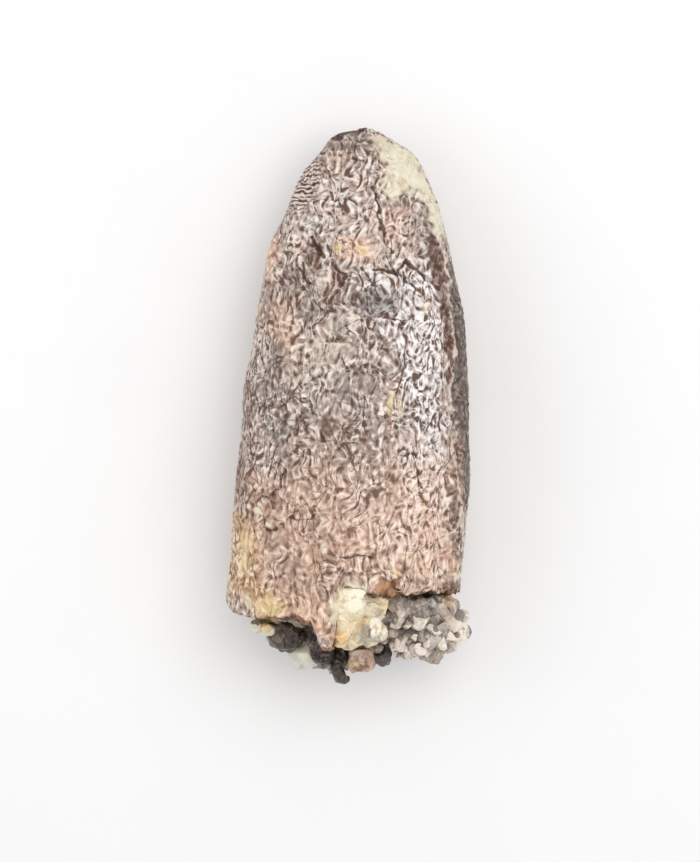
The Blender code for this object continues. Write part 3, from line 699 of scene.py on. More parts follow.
def new_object(name: str, points: np.ndarray, faces: list[tuple[int, ...]]) -> bpy.types.Object:
    """Makes a smooth-shaded object from points in millimetres.

    Args:
        name: The name of the object.
        points: One row for each vertex.
        faces: The vertices of each face.

    Returns:
        The object, linked to the scene.
    """
    mesh = bpy.data.meshes.new(name)
    mesh.from_pydata((points * MM).tolist(), [], faces)
    mesh.update()
    mesh.shade_smooth()
    made = bpy.data.objects.new(name, mesh)
    bpy.context.scene.collection.objects.link(made)
    return made


def points_of(piece: bpy.types.Object) -> np.ndarray:
    """Reads the vertices of a piece.

    Args:
        piece: A mesh object at the origin.

    Returns:
        One row in millimetres for each vertex.
    """
    flat = np.zeros(len(piece.data.vertices) * 3, np.float32)
    piece.data.vertices.foreach_get("co", flat)
    return flat.reshape(-1, 3).astype(float) / MM


def normals_of(piece: bpy.types.Object) -> np.ndarray:
    """Reads the directions in which the vertices of a piece face.

    Args:
        piece: A mesh object at the origin.

    Returns:
        One row of length 1 for each vertex.
    """
    flat = np.zeros(len(piece.data.vertices) * 3, np.float32)
    piece.data.vertices.foreach_get("normal", flat)
    return flat.reshape(-1, 3).astype(float)


def set_points(piece: bpy.types.Object, points: np.ndarray) -> None:
    """Moves the vertices of a piece.

    Args:
        piece: A mesh object at the origin.
        points: One row in millimetres for each vertex.
    """
    piece.data.vertices.foreach_set("co", (points * MM).astype(np.float32).ravel())
    piece.data.update()


def set_values(piece: bpy.types.Object, channel: Enum, values: np.ndarray) -> None:
    """Stores one number for each vertex, which the materials read by name.

    Args:
        piece: A mesh object.
        channel: Which of the stored numbers it is.
        values: The numbers.
    """
    attribute = piece.data.attributes.new(channel.value, "FLOAT", "POINT")
    attribute.data.foreach_set("value", values.astype(np.float32))


def dressed(piece: bpy.types.Object, slot: str, *nodes: str) -> bpy.types.Object:
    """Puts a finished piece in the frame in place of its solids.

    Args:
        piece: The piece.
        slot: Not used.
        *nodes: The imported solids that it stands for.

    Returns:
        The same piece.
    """
    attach(piece, "root")
    if nodes:
        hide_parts(*nodes)
    return piece


def paint(red: int, green: int, blue: int) -> Colour:
    """Turns a colour as a screen shows it, 0 to 255, into the values that a shader takes.

    Args:
        red: How red it is.
        green: How green it is.
        blue: How blue it is.

    Returns:
        The colour with full opacity.
    """
    shown = [value / 255 for value in (red, green, blue)]
    linear = [v / 12.92 if v <= 0.04045 else ((v + 0.055) / 1.055) ** 2.4 for v in shown]
    return (*linear, 1.0)


class Recipe:
    """A material in the making. Each call adds one node and gives what comes out of it."""

    def __init__(self, name: str) -> None:
        """Starts the material.

        Args:
            name: The name of the material.
        """
        self.material = bpy.data.materials.new(name)
        self.material.use_nodes = True
        self.tree = self.material.node_tree
        self.shader = self.tree.nodes["Principled BSDF"]
        place = self.tree.nodes.new("ShaderNodeTexCoord")
        self.place = self.scaled(place.outputs["Object"], 1.0 / MM)

    def link(self, source: Socket, target: Socket) -> None:
        """Joins two sockets."""
        self.tree.links.new(source, target)

    def feed(self, target: Socket, value: Feed) -> None:
        """Gives a socket a constant or another socket's value.

        Args:
            target: The socket to feed.
            value: A number, a colour, or a socket.
        """
        if isinstance(value, Socket):
            self.link(value, target)
        else:
            target.default_value = value

    def scaled(self, vector: Socket, times: float | tuple[float, float, float]) -> Socket:
        """Scales a vector.

        Args:
            vector: The vector.
            times: One factor, or one for each axis.

        Returns:
            The scaled vector.
        """
        node = self.tree.nodes.new("ShaderNodeVectorMath")
        node.operation = "MULTIPLY"
        self.link(vector, node.inputs[0])
        node.inputs[1].default_value = times if isinstance(times, tuple) else (times,) * 3
        return node.outputs[0]

    def attribute(self, channel: Enum) -> Socket:
        """Reads a number stored on the mesh.

        Args:
            channel: Which of the stored numbers it is.

        Returns:
            Its value.
        """
        node = self.tree.nodes.new("ShaderNodeAttribute")
        node.attribute_name = channel.value
        return node.outputs["Fac"]

    def noise(self, wave: float, detail: float = 2.0, along: float = 1.0) -> Socket:
        """Adds a cloud texture.

        Args:
            wave: The size of its lumps in millimetres.
            detail: How many finer layers it has.
            along: How many times longer the lumps are along Y.

        Returns:
            Its value, about 0.5.
        """
        node = self.tree.nodes.new("ShaderNodeTexNoise")
        node.inputs["Scale"].default_value = 1.0
        node.inputs["Detail"].default_value = detail
        stretch = (1.0 / wave, 1.0 / (wave * along), 1.0 / wave)
        self.link(self.scaled(self.place, stretch), node.inputs["Vector"])
        return node.outputs["Fac"]

    def grains(self, size: float) -> Socket:
        """Adds a texture of grains.

        Args:
            size: The size of the grains in millimetres.

        Returns:
            A random value from 0 to 1 for each grain.
        """
        cells = self.tree.nodes.new("ShaderNodeTexVoronoi")
        cells.inputs["Scale"].default_value = 1.0
        self.link(self.scaled(self.place, 1.0 / size), cells.inputs["Vector"])
        parts = self.tree.nodes.new("ShaderNodeSeparateColor")
        self.link(cells.outputs["Color"], parts.inputs["Color"])
        return parts.outputs["Red"]

    def ramp(
        self, value: Socket, low: float, high: float, at_low: float = 0.0, at_high: float = 1.0
    ) -> Socket:
        """Runs a value straight from one end to the other and holds it there.

        Args:
            value: The value.
            low: The first end; it may be larger than high.
            high: The second end.
            at_low: What it gives at the first end.
            at_high: What it gives at the second end.

        Returns:
            The new value.
        """
        node = self.tree.nodes.new("ShaderNodeMapRange")
        self.link(value, node.inputs["Value"])
        ends = {"From Min": low, "From Max": high, "To Min": at_low, "To Max": at_high}
        for name, end in ends.items():
            node.inputs[name].default_value = end
        return node.outputs["Result"]

    def ease(self, value: Socket, low: float, high: float, most: float = 1.0) -> Socket:
        """Eases a value from 0 at low to most at high.

        Args:
            value: The value.
            low: Where it gives 0; it may be larger than high.
            high: Where it gives the most.
            most: What it gives there.

        Returns:
            The eased value.
        """
        ends = (high, low, most, 0.0) if low > high else (low, high, 0.0, most)
        eased = self.ramp(value, *ends)
        eased.node.interpolation_type = "SMOOTHSTEP"
        return eased

    def summed(self, kind: Sum, first: Feed, second: Feed = 0.0) -> Socket:
        """Does a sum with one or two values.

        Args:
            kind: The sum.
            first: A number or a socket.
            second: A number or a socket.

        Returns:
            The result.
        """
        node = self.tree.nodes.new("ShaderNodeMath")
        node.operation = kind.value
        self.feed(node.inputs[0], first)
        self.feed(node.inputs[1], second)
        return node.outputs[0]

    def times(self, first: Feed, second: Feed) -> Socket:
        """Multiplies two values."""
        return self.summed(Sum.MULTIPLY, first, second)

    def plus(self, first: Feed, second: Feed) -> Socket:
        """Adds two values."""
        return self.summed(Sum.ADD, first, second)

    def minus(self, first: Feed, second: Feed) -> Socket:
        """Takes the second value from the first."""
        return self.summed(Sum.SUBTRACT, first, second)

    def larger(self, first: Feed, second: Feed) -> Socket:
        """Gives the larger of two values."""
        return self.summed(Sum.LARGER, first, second)

    def size(self, value: Feed) -> Socket:
        """Gives a value without its sign."""
        return self.summed(Sum.SIZE, value)

    def mix(self, share: Feed, first: Feed, second: Feed) -> Socket:
        """Mixes two colours.

        Args:
            share: How much of the second colour there is, 0 to 1.
            first: A colour or a socket.
            second: A colour or a socket.

        Returns:
            The mixed colour.
        """
        node = self.tree.nodes.new("ShaderNodeMix")
        node.data_type = "RGBA"
        self.feed(node.inputs["Factor"], share)
        self.feed(node.inputs[6], first)
        self.feed(node.inputs[7], second)
        return node.outputs[2]

    def relief(self, *layers: tuple[Socket, float]) -> None:
        """Gives the surface fine relief.

        Args:
            *layers: The height of each layer as a value from 0 to 1, and what 1 means in
                millimetres.
        """
        normal = None
        for height, depth in layers:
            node = self.tree.nodes.new("ShaderNodeBump")
            node.inputs["Strength"].default_value = 1.0
            node.inputs["Distance"].default_value = depth * MM
            self.link(height, node.inputs["Height"])
            if normal:
                self.link(normal, node.inputs["Normal"])
            normal = node.outputs["Normal"]
        self.link(normal, self.shader.inputs["Normal"])

    def finished(self, colour: Feed, roughness: Feed, **constants: float) -> bpy.types.Material:
        """Joins colour and roughness to the shader.

        Args:
            colour: The base colour.
            roughness: The roughness.
            **constants: Other sockets' values, by their names with _ for a space.

        Returns:
            The material.
        """
        self.feed(self.shader.inputs["Base Color"], colour)
        self.feed(self.shader.inputs["Roughness"], roughness)
        for name, value in constants.items():
            self.shader.inputs[name.replace("_", " ")].default_value = value
        return self.material


@dataclass(frozen=True)
class EnamelFinish:
    """Fossil enamel: wrinkled, pinkish grey, dark in its wrinkles, with stains and worn places, and
    with painted highlights, sheen, glints and shade.
    """

    light: Colour = paint(203, 180, 166)
    grey: Colour = paint(174, 157, 148)
    warm: Colour = paint(214, 172, 148)
    cool: Colour = paint(170, 165, 164)
    # Painted sheen laid over the ground colour.
    painted_sheen_ground: Colour = paint(238, 220, 211)
    # Crest colour: partly paler enamel, partly painted highlight.
    crest: Colour = paint(252, 236, 224)
    # Painted highlight on the crests within the painted sheen.
    painted_sheen_crest: Colour = paint(254, 250, 250)
    # Crest colour in rosy places, also partly painted highlight.
    flush: Colour = paint(255, 230, 208)
    # Wrinkle colour: partly the dark fill of the wrinkles and stripes, partly painted shade in the
    # wrinkles.
    wrinkle: Colour = paint(86, 53, 38)
    tan: Colour = paint(214, 180, 142)
    broken: Colour = paint(204, 150, 108)
    broken_dark: Colour = paint(104, 70, 52)
    # The dark grey-brown among these is painted shade, partly darker stain.
    stains: tuple[tuple[Tone, float, Colour], ...] = (
        (Tone.ROSE, 0.7, paint(230, 180, 148)),
        (Tone.SLATE, 0.6, paint(140, 134, 134)),
        (Tone.PALE, 0.6, paint(196, 182, 166)),
        (Tone.RUST, 0.92, paint(108, 70, 52)),
        (Tone.OCHRE, 0.8, paint(206, 160, 102)),
        (Tone.UMBER, 0.8, paint(92, 66, 52)),
        (Tone.SHADE_AND_DARK_STAIN, 0.85, paint(84, 71, 64)),
    )
    # Cream also paints the small glints.
    flecks: tuple[tuple[Tone, float, Colour], ...] = (
        (Tone.GOLD, 0.8, paint(255, 228, 172)),
        (Tone.CREAM, 0.86, paint(245, 238, 212)),
    )
    lines: tuple[tuple[LineKind, float, Colour], ...] = (
        (LineKind.SEAM, 0.55, paint(118, 92, 78)),
        (LineKind.PALE_LINE, 0.75, paint(236, 222, 208)),
        (LineKind.CRACK, 0.9, paint(68, 38, 24)),
    )
    # How strongly each noise's zero line counts, and the rim on either side of it.
    wrinkles: tuple[tuple[Stroke, float, float], ...] = (
        (Stroke.PALE_WIDE, 1.6, -0.5),
        (Stroke.PALE_NARROW, 1.2, -0.3),
        (Stroke.DARK_WIDE, -1.9, 0.7),
        (Stroke.DARK_NARROW, -1.4, 0.5),
    )
    line_width: float = 0.66
    rim_start: float = 0.35
    rim_middle: float = 0.85
    rim_end: float = 1.4
    lump_share: float = 0.75
    grain_wave: float = 0.28
    grain_share: float = 1.5
    # How much the painted sheen strengthens and lifts the wrinkles.
    sheen_gain: float = 1.5
    sheen_lift: float = 0.65
    crest_from: float = 0.1
    crest_full: float = 2.3
    crest_share: float = 0.96
    # How much of the crests' colour stays in stained places and painted shade.
    stain_and_shade_crest_share: float = 0.22
    dark_full: float = -2.7
    dark_share: float = 0.92
    rosy_dark_share: float = 0.86
    relief: float = 0.12
    grain_relief: float = 0.008

    def material(self) -> bpy.types.Material:
        """Builds the material.

        Returns:
            The material.
        """
        recipe = Recipe("fossil_enamel")
        dust = recipe.noise(0.6, detail=3.0, along=1.6)
        wrinkles = self._wrinkles(recipe)
        colour = self._tinted(recipe, self._ground(recipe), self.stains)
        colour = self._wrinkled(recipe, colour, wrinkles)
        colour = self._tinted(recipe, colour, self.flecks)
        tanned = recipe.times(recipe.attribute(Tone.CREAM), recipe.ease(dust, 0.5, 0.7, 0.5))
        colour = recipe.mix(tanned, colour, self.tan)
        colour = self._lined(recipe, self._striped(recipe, colour))
        broken = recipe.mix(recipe.ease(dust, 0.35, 0.6), self.broken, self.broken_dark)
        bare = recipe.larger(recipe.attribute(Mark.BROKEN), recipe.attribute(Tone.SPALL))
        colour = recipe.mix(bare, colour, broken)
        roughness = recipe.ramp(wrinkles, 2.5, -2.5, 0.30, 0.7)
        height = recipe.ramp(wrinkles, -3.0, 3.0)
        grain = recipe.noise(0.07, detail=2.0)
        recipe.relief((height, self.relief), (grain, self.grain_relief))
        return recipe.finished(colour, roughness)

    def _wrinkles(self, recipe: Recipe) -> Socket:
        """Adds the pale and dark wrinkle lines, the lumps and the grain of the enamel together.

        Args:
            recipe: The material in the making.

        Returns:
            A value that is high where the enamel is pale and low where it is dark.
        """
        glossy = recipe.attribute(Tone.GLOSSY)
        total = recipe.times(recipe.attribute(Stroke.LUMPS), self.lump_share)
        fading = recipe.ramp(recipe.noise(1.1, detail=1.0), 0.36, 0.64, 0.45, 1.3)
        for stroke, weight, rim in self.wrinkles:
            edge = recipe.size(recipe.attribute(stroke))
            line = recipe.times(recipe.ease(edge, self.line_width, 0.0), weight)
            flank = recipe.times(recipe.ease(edge, self.rim_start, self.rim_middle), rim)
            flank = recipe.times(flank, recipe.ease(edge, self.rim_end, self.rim_middle))
            total = recipe.plus(total, recipe.times(recipe.plus(line, flank), fading))
        grain = recipe.noise(self.grain_wave, detail=1.0)
        grain = recipe.ramp(grain, 0.2, 0.8, -self.grain_share, self.grain_share)
        total = recipe.plus(total, grain)
        # The painted sheen strengthens the wrinkles and lifts them.
        total = recipe.times(total, recipe.ramp(glossy, 0.0, 1.0, 1.0, self.sheen_gain))
        total = recipe.plus(total, recipe.times(glossy, self.sheen_lift))
        return recipe.times(total, recipe.attribute(Mark.WRINKLED))

    def _ground(self, recipe: Recipe) -> Socket:
        """Mixes the enamel's colour from its mottling, a painted sheen and its blushes.

        Args:
            recipe: The material in the making.

        Returns:
            The colour under the stains.
        """
        mottle = recipe.ramp(recipe.attribute(Mark.MOTTLE), 2.0, -2.0)
        colour = recipe.mix(mottle, self.light, self.grey)
        # Painted sheen.
        colour = recipe.mix(recipe.times(recipe.attribute(Tone.GLOSSY), 0.6), colour, self.painted_sheen_ground)
        blush = recipe.attribute(Mark.BLUSH)
        colour = recipe.mix(recipe.ramp(blush, 0.2, 2.2, 0.0, 0.55), colour, self.warm)
        return recipe.mix(recipe.ramp(blush, -0.2, -2.2, 0.0, 0.5), colour, self.cool)

    def _tinted(
        self, recipe: Recipe, colour: Socket, tints: tuple[tuple[Tone, float, Colour], ...]
    ) -> Socket:
        """Lays stains, painted shade and painted glints over a colour.

        Args:
            recipe: The material in the making.
            colour: The colour so far.
            tints: Each stain, painted shade and painted glint, how well it covers, and its colour.

        Returns:
            The stained colour, with painted shade and glints.
        """
        for tone, cover, tint in tints:
            colour = recipe.mix(recipe.times(recipe.attribute(tone), cover), colour, tint)
        return colour

    def _wrinkled(self, recipe: Recipe, colour: Socket, wrinkles: Socket) -> Socket:
        """Lays pale crests, partly painted highlight, and dark wrinkles, partly painted shade, over a
        colour.

        Args:
            recipe: The material in the making.
            colour: The colour so far.
            wrinkles: The value that is high on crests and low in wrinkles.

        Returns:
            The wrinkled colour.
        """
        # Fewer pale crests in stained places and in painted shade.
        stain_and_shade = recipe.larger(recipe.attribute(Tone.UMBER), recipe.attribute(Tone.RUST))
        stain_and_shade = recipe.larger(stain_and_shade, recipe.attribute(Tone.SHADE_AND_DARK_STAIN))
        crests = recipe.ramp(wrinkles, self.crest_from, self.crest_full, 0.0, self.crest_share)
        crests = recipe.times(crests, recipe.ramp(stain_and_shade, 0.0, 1.0, 1.0, self.stain_and_shade_crest_share))
        rosy = recipe.attribute(Tone.ROSE)
        # Painted highlight on the crests, whiter within the painted sheen.
        crest = recipe.mix(recipe.attribute(Tone.GLOSSY), self.crest, self.painted_sheen_crest)
        colour = recipe.mix(crests, colour, recipe.mix(rosy, crest, self.flush))
        # Dark wrinkles: partly their dark fill, partly painted shade.
        darks = recipe.ramp(wrinkles, 0.0, self.dark_full, 0.0, self.dark_share)
        darks = recipe.times(darks, recipe.ramp(rosy, 0.0, 1.0, 1.0, self.rosy_dark_share))
        return recipe.mix(darks, colour, self.wrinkle)

    def _striped(self, recipe: Recipe, colour: Socket) -> Socket:
        """Lays the fine stripes near the tip over a colour.

        Args:
            recipe: The material in the making.
            colour: The colour so far.

        Returns:
            The striped colour.
        """
        striped = recipe.attribute(Tone.STRIPED)
        stripes = recipe.times(recipe.ease(recipe.attribute(Mark.STRIPES), 0.3, 0.75), striped)
        colour = recipe.mix(stripes, colour, self.wrinkle)
        return recipe.mix(recipe.times(recipe.minus(striped, stripes), 0.7), colour, self.crest)

    def _lined(self, recipe: Recipe, colour: Socket) -> Socket:
        """Draws the seams, the pale lines and the cracks over a colour.

        Args:
            recipe: The material in the making.
            colour: The colour so far.

        Returns:
            The lined colour.
        """
        wobble = recipe.ramp(recipe.noise(0.3, detail=2.0), 0.3, 0.7, -0.05, 0.05)
        for kind, cover, tint in self.lines:
            gap = recipe.plus(recipe.attribute(kind), wobble)
            colour = recipe.mix(recipe.ease(gap, 0.07, -0.02, cover), colour, tint)
        return colour


@dataclass
class Crown:
    """The tooth itself: a wrinkled skin over the solid's form, with its broken edge and hollow."""

    columns: int = 246
    rows: int = 366
    rim_rows: int = 8
    hollow_rows: int = 8
    fine_angles: int = 1440
    ragged_from: float = -5.2
    usual_edge: float = -9.5
    lowest_edge: float = -12.0
    edge_step: float = 0.04
    edge_inset: float = 0.06
    edge_slack: float = 0.9
    wall: float = 1.35
    least_wall: float = 0.3
    hollow_roof: float = -5.0
    tip_rows_from: float = 18.0
    last_row: float = 20.6
    body_samples: int = 300
    tip_samples: int = 160
    width_every: int = 40
    axis_stretches: tuple[tuple[float, float, float], ...] = ((-5.0, 19.0, 0.5), (19.0, 20.5, 0.2))
    side_share: float = 0.5
    under_share: float = 0.35
    under_from: float = -0.8
    half_width: float = 7.0
    half_height: float = 5.5
    far: float = 14.0
    facet_reach: int = 9
    facet_spread: float = 3.2
    lump_height: float = 0.03
    ridge_height: float = 0.03
    valley_depth: float = 0.04
    fold_height: float = 0.045
    stripe_height: float = 0.02
    stripe_wave: float = 0.27
    spall_depth: float = 0.16
    no_line: float = 2.0
    # How far the broken edge is nicked, at places across the outer face.
    nicks: tuple[tuple[float, float], ...] = (
        (-4.6, 0.0),
        (-4.1, 0.40),
        (-3.5, 0.55),
        (-2.6, 0.65),
        (-2.2, 1.05),
        (-1.9, 0.65),
        (-1.6, 0.30),
        (-0.9, 0.0),
    )
    # The wave of each noise, and how many times longer it is towards the tip.
    strokes: tuple[tuple[Stroke, float, float], ...] = (
        (Stroke.PALE_WIDE, 0.84, 2.1),
        (Stroke.PALE_NARROW, 0.68, 1.15),
        (Stroke.DARK_WIDE, 0.90, 2.2),
        (Stroke.DARK_NARROW, 0.72, 1.15),
        (Stroke.LUMPS, 0.46, 1.2),
    )
    # The wave, the level where it starts and the strength of each stain of the inner face.
    hidden_stains: tuple[tuple[Tone, float, float, float], ...] = (
        (Tone.SLATE, 4.0, 0.5, 0.7),
        (Tone.ROSE, 3.0, 0.6, 0.6),
        (Tone.RUST, 2.2, 1.1, 0.8),
        (Tone.OCHRE, 4.5, 1.1, 0.7),
        (Tone.PALE, 3.4, 1.0, 0.7),
        (Tone.GOLD, 1.4, 2.1, 0.7),
    )
    finish: EnamelFinish = field(default_factory=EnamelFinish)

    def build(self) -> bpy.types.Object:
        """Builds and dresses the tooth.

        Returns:
            The piece.
        """
        self.probe = SolidProbe("tooth")
        self.tip = max(self.probe.points, key=lambda point: point.y).copy()
        self._find_axis()
        self._choose_angles()
        self._find_edges()
        grid, broken = self._grid()
        piece = self._mesh(grid)
        self._dress(piece, broken, self._unrolled(grid))
        piece.data.materials.append(self.finish.material())
        return dressed(piece, "fossil_enamel", "tooth")

    def _middle(self, y: float, guess: Vector) -> Vector:
        """Finds the middle of the cross-section at a place along Y.

        Args:
            y: The place.
            guess: A point near the middle.

        Returns:
            The middle.
        """
        middle = Vector((guess.x, y, guess.z))
        for axis in (Vector((1, 0, 0)), Vector((0, 0, 1)), Vector((1, 0, 0))):
            ahead = self.probe.reach(middle + axis * self.far, -axis, self.far)
            behind = self.probe.reach(middle - axis * self.far, axis, self.far)
            if ahead is not None and behind is not None:
                middle += axis * (behind - ahead) / 2
        return middle

    def _find_axis(self) -> None:
        """Follows the middle of the tooth from the broken edge to the tip."""
        self.axis_y = np.concatenate([np.arange(*stretch) for stretch in self.axis_stretches])
        guess = Vector((0.0, 0.0, WIDEST))
        middles = []
        for y in self.axis_y:
            guess = self._middle(float(y), guess)
            middles.append((guess.x, guess.z))
        self.axis_y = np.append(self.axis_y, self.tip.y)
        middles.append((self.tip.x, self.tip.z))
        self.axis = np.array(middles)

    def _axis_at(self, y: float) -> Vector:
        """Gives the point of the axis at a place along Y.

        Args:
            y: The place.

        Returns:
            The point.
        """
        x = np.interp(y, self.axis_y, self.axis[:, 0])
        z = np.interp(y, self.axis_y, self.axis[:, 1])
        return Vector((float(x), y, float(z)))

    def _radius(self, y: float, way: Vector) -> float | None:
        """Measures from the axis to the outside of the tooth.

        Args:
            y: The place along Y.
            way: The direction away from the axis.

        Returns:
            The distance, or None where there is no tooth.
        """
        start = self._axis_at(y) + way * self.far
        gone = self.probe.reach(start, -way, self.far)
        return None if gone is None else self.far - gone

    def _choose_angles(self) -> None:
        """Places the columns so that they look evenly spaced from above, and wider underneath."""
        fine = np.linspace(0.0, math.tau, self.fine_angles, endpoint=False)
        points = []
        for angle in fine:
            way = Vector((math.cos(angle), 0.0, math.sin(angle)))
            reach = self._radius(0.0, way)
            points.append((reach * way.x, reach * way.z))
        points = np.array(points)
        steps = np.roll(points, -1, axis=0) - points
        over = np.hypot(steps[:, 0], self.side_share * steps[:, 1])
        under = self.under_share * np.hypot(steps[:, 0], steps[:, 1])
        spans = np.where(points[:, 1] > self.under_from, over, under)
        walked = np.concatenate(([0.0], np.cumsum(spans)))
        wanted = np.linspace(0.0, walked[-1], self.columns, endpoint=False)
        self.angles = np.interp(wanted, walked, np.append(fine, math.tau))
        self.ways = [Vector((math.cos(a), 0.0, math.sin(a))) for a in self.angles]

    def _find_edges(self) -> None:
        """Finds where the outside and the inside of the wall end at each column."""
        outer, inner = [], []
        for way in self.ways:
            expected = self._radius(self.ragged_from, way)
            outer_end = inner_end = self.ragged_from
            y = self.ragged_from
            while y > self.lowest_edge:
                found = self._radius(y, way)
                if found is not None and abs(found - expected) < self.edge_slack:
                    outer_end = y
                inside = self.probe.reach(self._axis_at(y), way, expected - self.least_wall)
                if inside is not None and inside > expected - self.wall - self.edge_slack:
                    inner_end = y
                y -= self.edge_step
            outer.append(outer_end)
            inner.append(inner_end)
        self.outer_edge = np.array(outer)
        self.inner_edge = np.array(inner)

    def _row_places(self) -> np.ndarray:
        """Spaces the rows evenly over the skin from the usual edge to just short of the tip.

        Returns:
            The place of each row along Y.
        """
        body = np.linspace(self.usual_edge, self.tip_rows_from, self.body_samples)
        tip = np.linspace(self.tip_rows_from, self.last_row, self.tip_samples)
        y = np.concatenate((body, tip[1:]))
        width = []
        for place in np.maximum(y, self.ragged_from):
            reaches = [self._radius(float(place), way) for way in self.ways[:: self.width_every]]
            width.append(np.mean([reach or 0.0 for reach in reaches]))
        walked = np.concatenate(([0.0], np.cumsum(np.hypot(np.diff(y), np.diff(width)))))
        return np.interp(np.linspace(0.0, walked[-1], self.rows), walked, y)

    def _grid(self) -> tuple[np.ndarray, np.ndarray]:
        """Lays a grid of points over the tooth, from inside the hollow to the tip.

        Returns:
            The points as rows by columns by 3, and how much each one is broken surface.
        """
        places = self._row_places()
        below = np.clip((self.ragged_from - places) / (self.ragged_from - self.usual_edge), 0.0, 1.0)
        rough = self._edge_roughness()
        heights = places[:, None] + below[:, None] * (self.outer_edge + rough - self.usual_edge)
        reach = np.zeros((self.rows, self.columns))
        for row in range(self.rows):
            for column, way in enumerate(self.ways):
                y = max(heights[row, column], self.outer_edge[column] + self.edge_inset)
                found = self._radius(float(y), way)
                reach[row, column] = found if found is not None else reach[row - 1, column]
        reach = self._without_facets(reach)
        inner = reach[0] - self.wall
        inside = []
        for n in range(self.hollow_rows, 0, -1):
            y = self.inner_edge + n / self.hollow_rows * (self.hollow_roof - self.inner_edge)
            inside.append(self._round_axis(heights[0], inner, y))
        for n in range(self.rim_rows, 0, -1):
            share = n / self.rim_rows
            y = heights[0] + share * (self.inner_edge - heights[0])
            inside.append(self._round_axis(heights[0], reach[0] + share * (inner - reach[0]), y))
        grid = np.concatenate((np.array(inside), self._round_axis(heights, reach, heights)))
        broken = np.zeros(grid.shape[:2])
        broken[: len(inside)] = 1.0
        return grid, broken

    def _round_axis(self, middle_at: np.ndarray, reach: np.ndarray, y: np.ndarray) -> np.ndarray:
        """Places points round the axis, one for each column.

        Args:
            middle_at: The places along Y whose middles they stand round.
            reach: How far they stand from it.
            y: Where they stand along Y.

        Returns:
            The points, with X, Y and Z last.
        """
        turn = np.array([(way.x, way.z) for way in self.ways])
        x = np.interp(middle_at, self.axis_y, self.axis[:, 0]) + reach * turn[:, 0]
        z = np.interp(middle_at, self.axis_y, self.axis[:, 1]) + reach * turn[:, 1]
        return np.stack((x, y, z), axis=-1)

    def _unrolled(self, grid: np.ndarray) -> np.ndarray:
        """Lays the skin out flat, as if it were cut open along the middle of the inner face.

        Args:
            grid: The points as rows by columns by 3.

        Returns:
            The distance of each vertex from the crest line round the tooth, and its place along Y.
        """
        cut = int(np.argmin(np.abs(self.angles - 1.5 * math.pi)))
        crest = int(np.argmin(np.abs(self.angles - 0.5 * math.pi)))
        steps = np.roll(grid, -1, axis=1) - grid
        steps = np.roll(np.hypot(steps[:, :, 0], steps[:, :, 2]), -cut, axis=1)
        walked = np.cumsum(steps, axis=1) - steps
        round_it = np.roll(walked, cut, axis=1)
        round_it -= round_it[:, crest : crest + 1]
        flat = np.stack((round_it, grid[:, :, 1]), axis=2).reshape(-1, 2)
        return np.concatenate((flat, [(0.0, self.hollow_roof), (0.0, self.tip.y)]))

    def _edge_roughness(self) -> np.ndarray:
        """Makes the broken edge uneven between the places that the solid gives.

        Returns:
            How far each column's edge moves along Y.
        """
        at = np.array([(way.x * self.half_width, 0.0, way.z * self.half_height) for way in self.ways])
        rough = 0.07 * NOISE.read(at, 1.3, key=3) + 0.05 * NOISE.read(at, 0.55, key=4)
        across = np.array([self._radius(self.ragged_from, way) * way.x for way in self.ways])
        upper = np.array([way.z > 0.3 for way in self.ways])
        place, raised = np.array(self.nicks).T
        return rough + np.where(upper, np.interp(across, place, raised), 0.0)

    def _without_facets(self, reach: np.ndarray) -> np.ndarray:
        """Smooths away the flat faces of the solid.

        Args:
            reach: The distances from the axis, as rows by columns.

        Returns:
            The smoothed distances.
        """
        far = self.facet_reach
        weights = np.exp(-0.5 * (np.arange(-far, far + 1) / self.facet_spread) ** 2)
        weights /= weights.sum()
        around = sum(w * np.roll(reach, n - far, axis=1) for n, w in enumerate(weights))
        padded = np.pad(around, ((far, far), (0, 0)), mode="reflect", reflect_type="odd")
        return sum(w * padded[n : n + len(reach)] for n, w in enumerate(weights))

    def _mesh(self, grid: np.ndarray) -> bpy.types.Object:
        """Joins the grid's points into one closed skin.

        Args:
            grid: The points as rows by columns by 3.

        Returns:
            The piece.
        """
        rows, columns, _ = grid.shape
        roof = grid[0].mean(axis=0) + np.array((0.0, 0.2, 0.0))
        points = np.concatenate((grid.reshape(-1, 3), [roof, np.array(self.tip)]))
        roof_at, tip_at = rows * columns, rows * columns + 1
        faces = []
        for row in range(rows - 1):
            for column in range(columns):
                after = (column + 1) % columns
                low, high = row * columns, (row + 1) * columns
                faces.append((low + column, high + column, high + after, low + after))
        for column in range(columns):
            after = (column + 1) % columns
            last = (rows - 1) * columns
            faces.append((column, after, roof_at))
            faces.append((last + after, last + column, tip_at))
        return new_object("tooth_skin", points, faces)

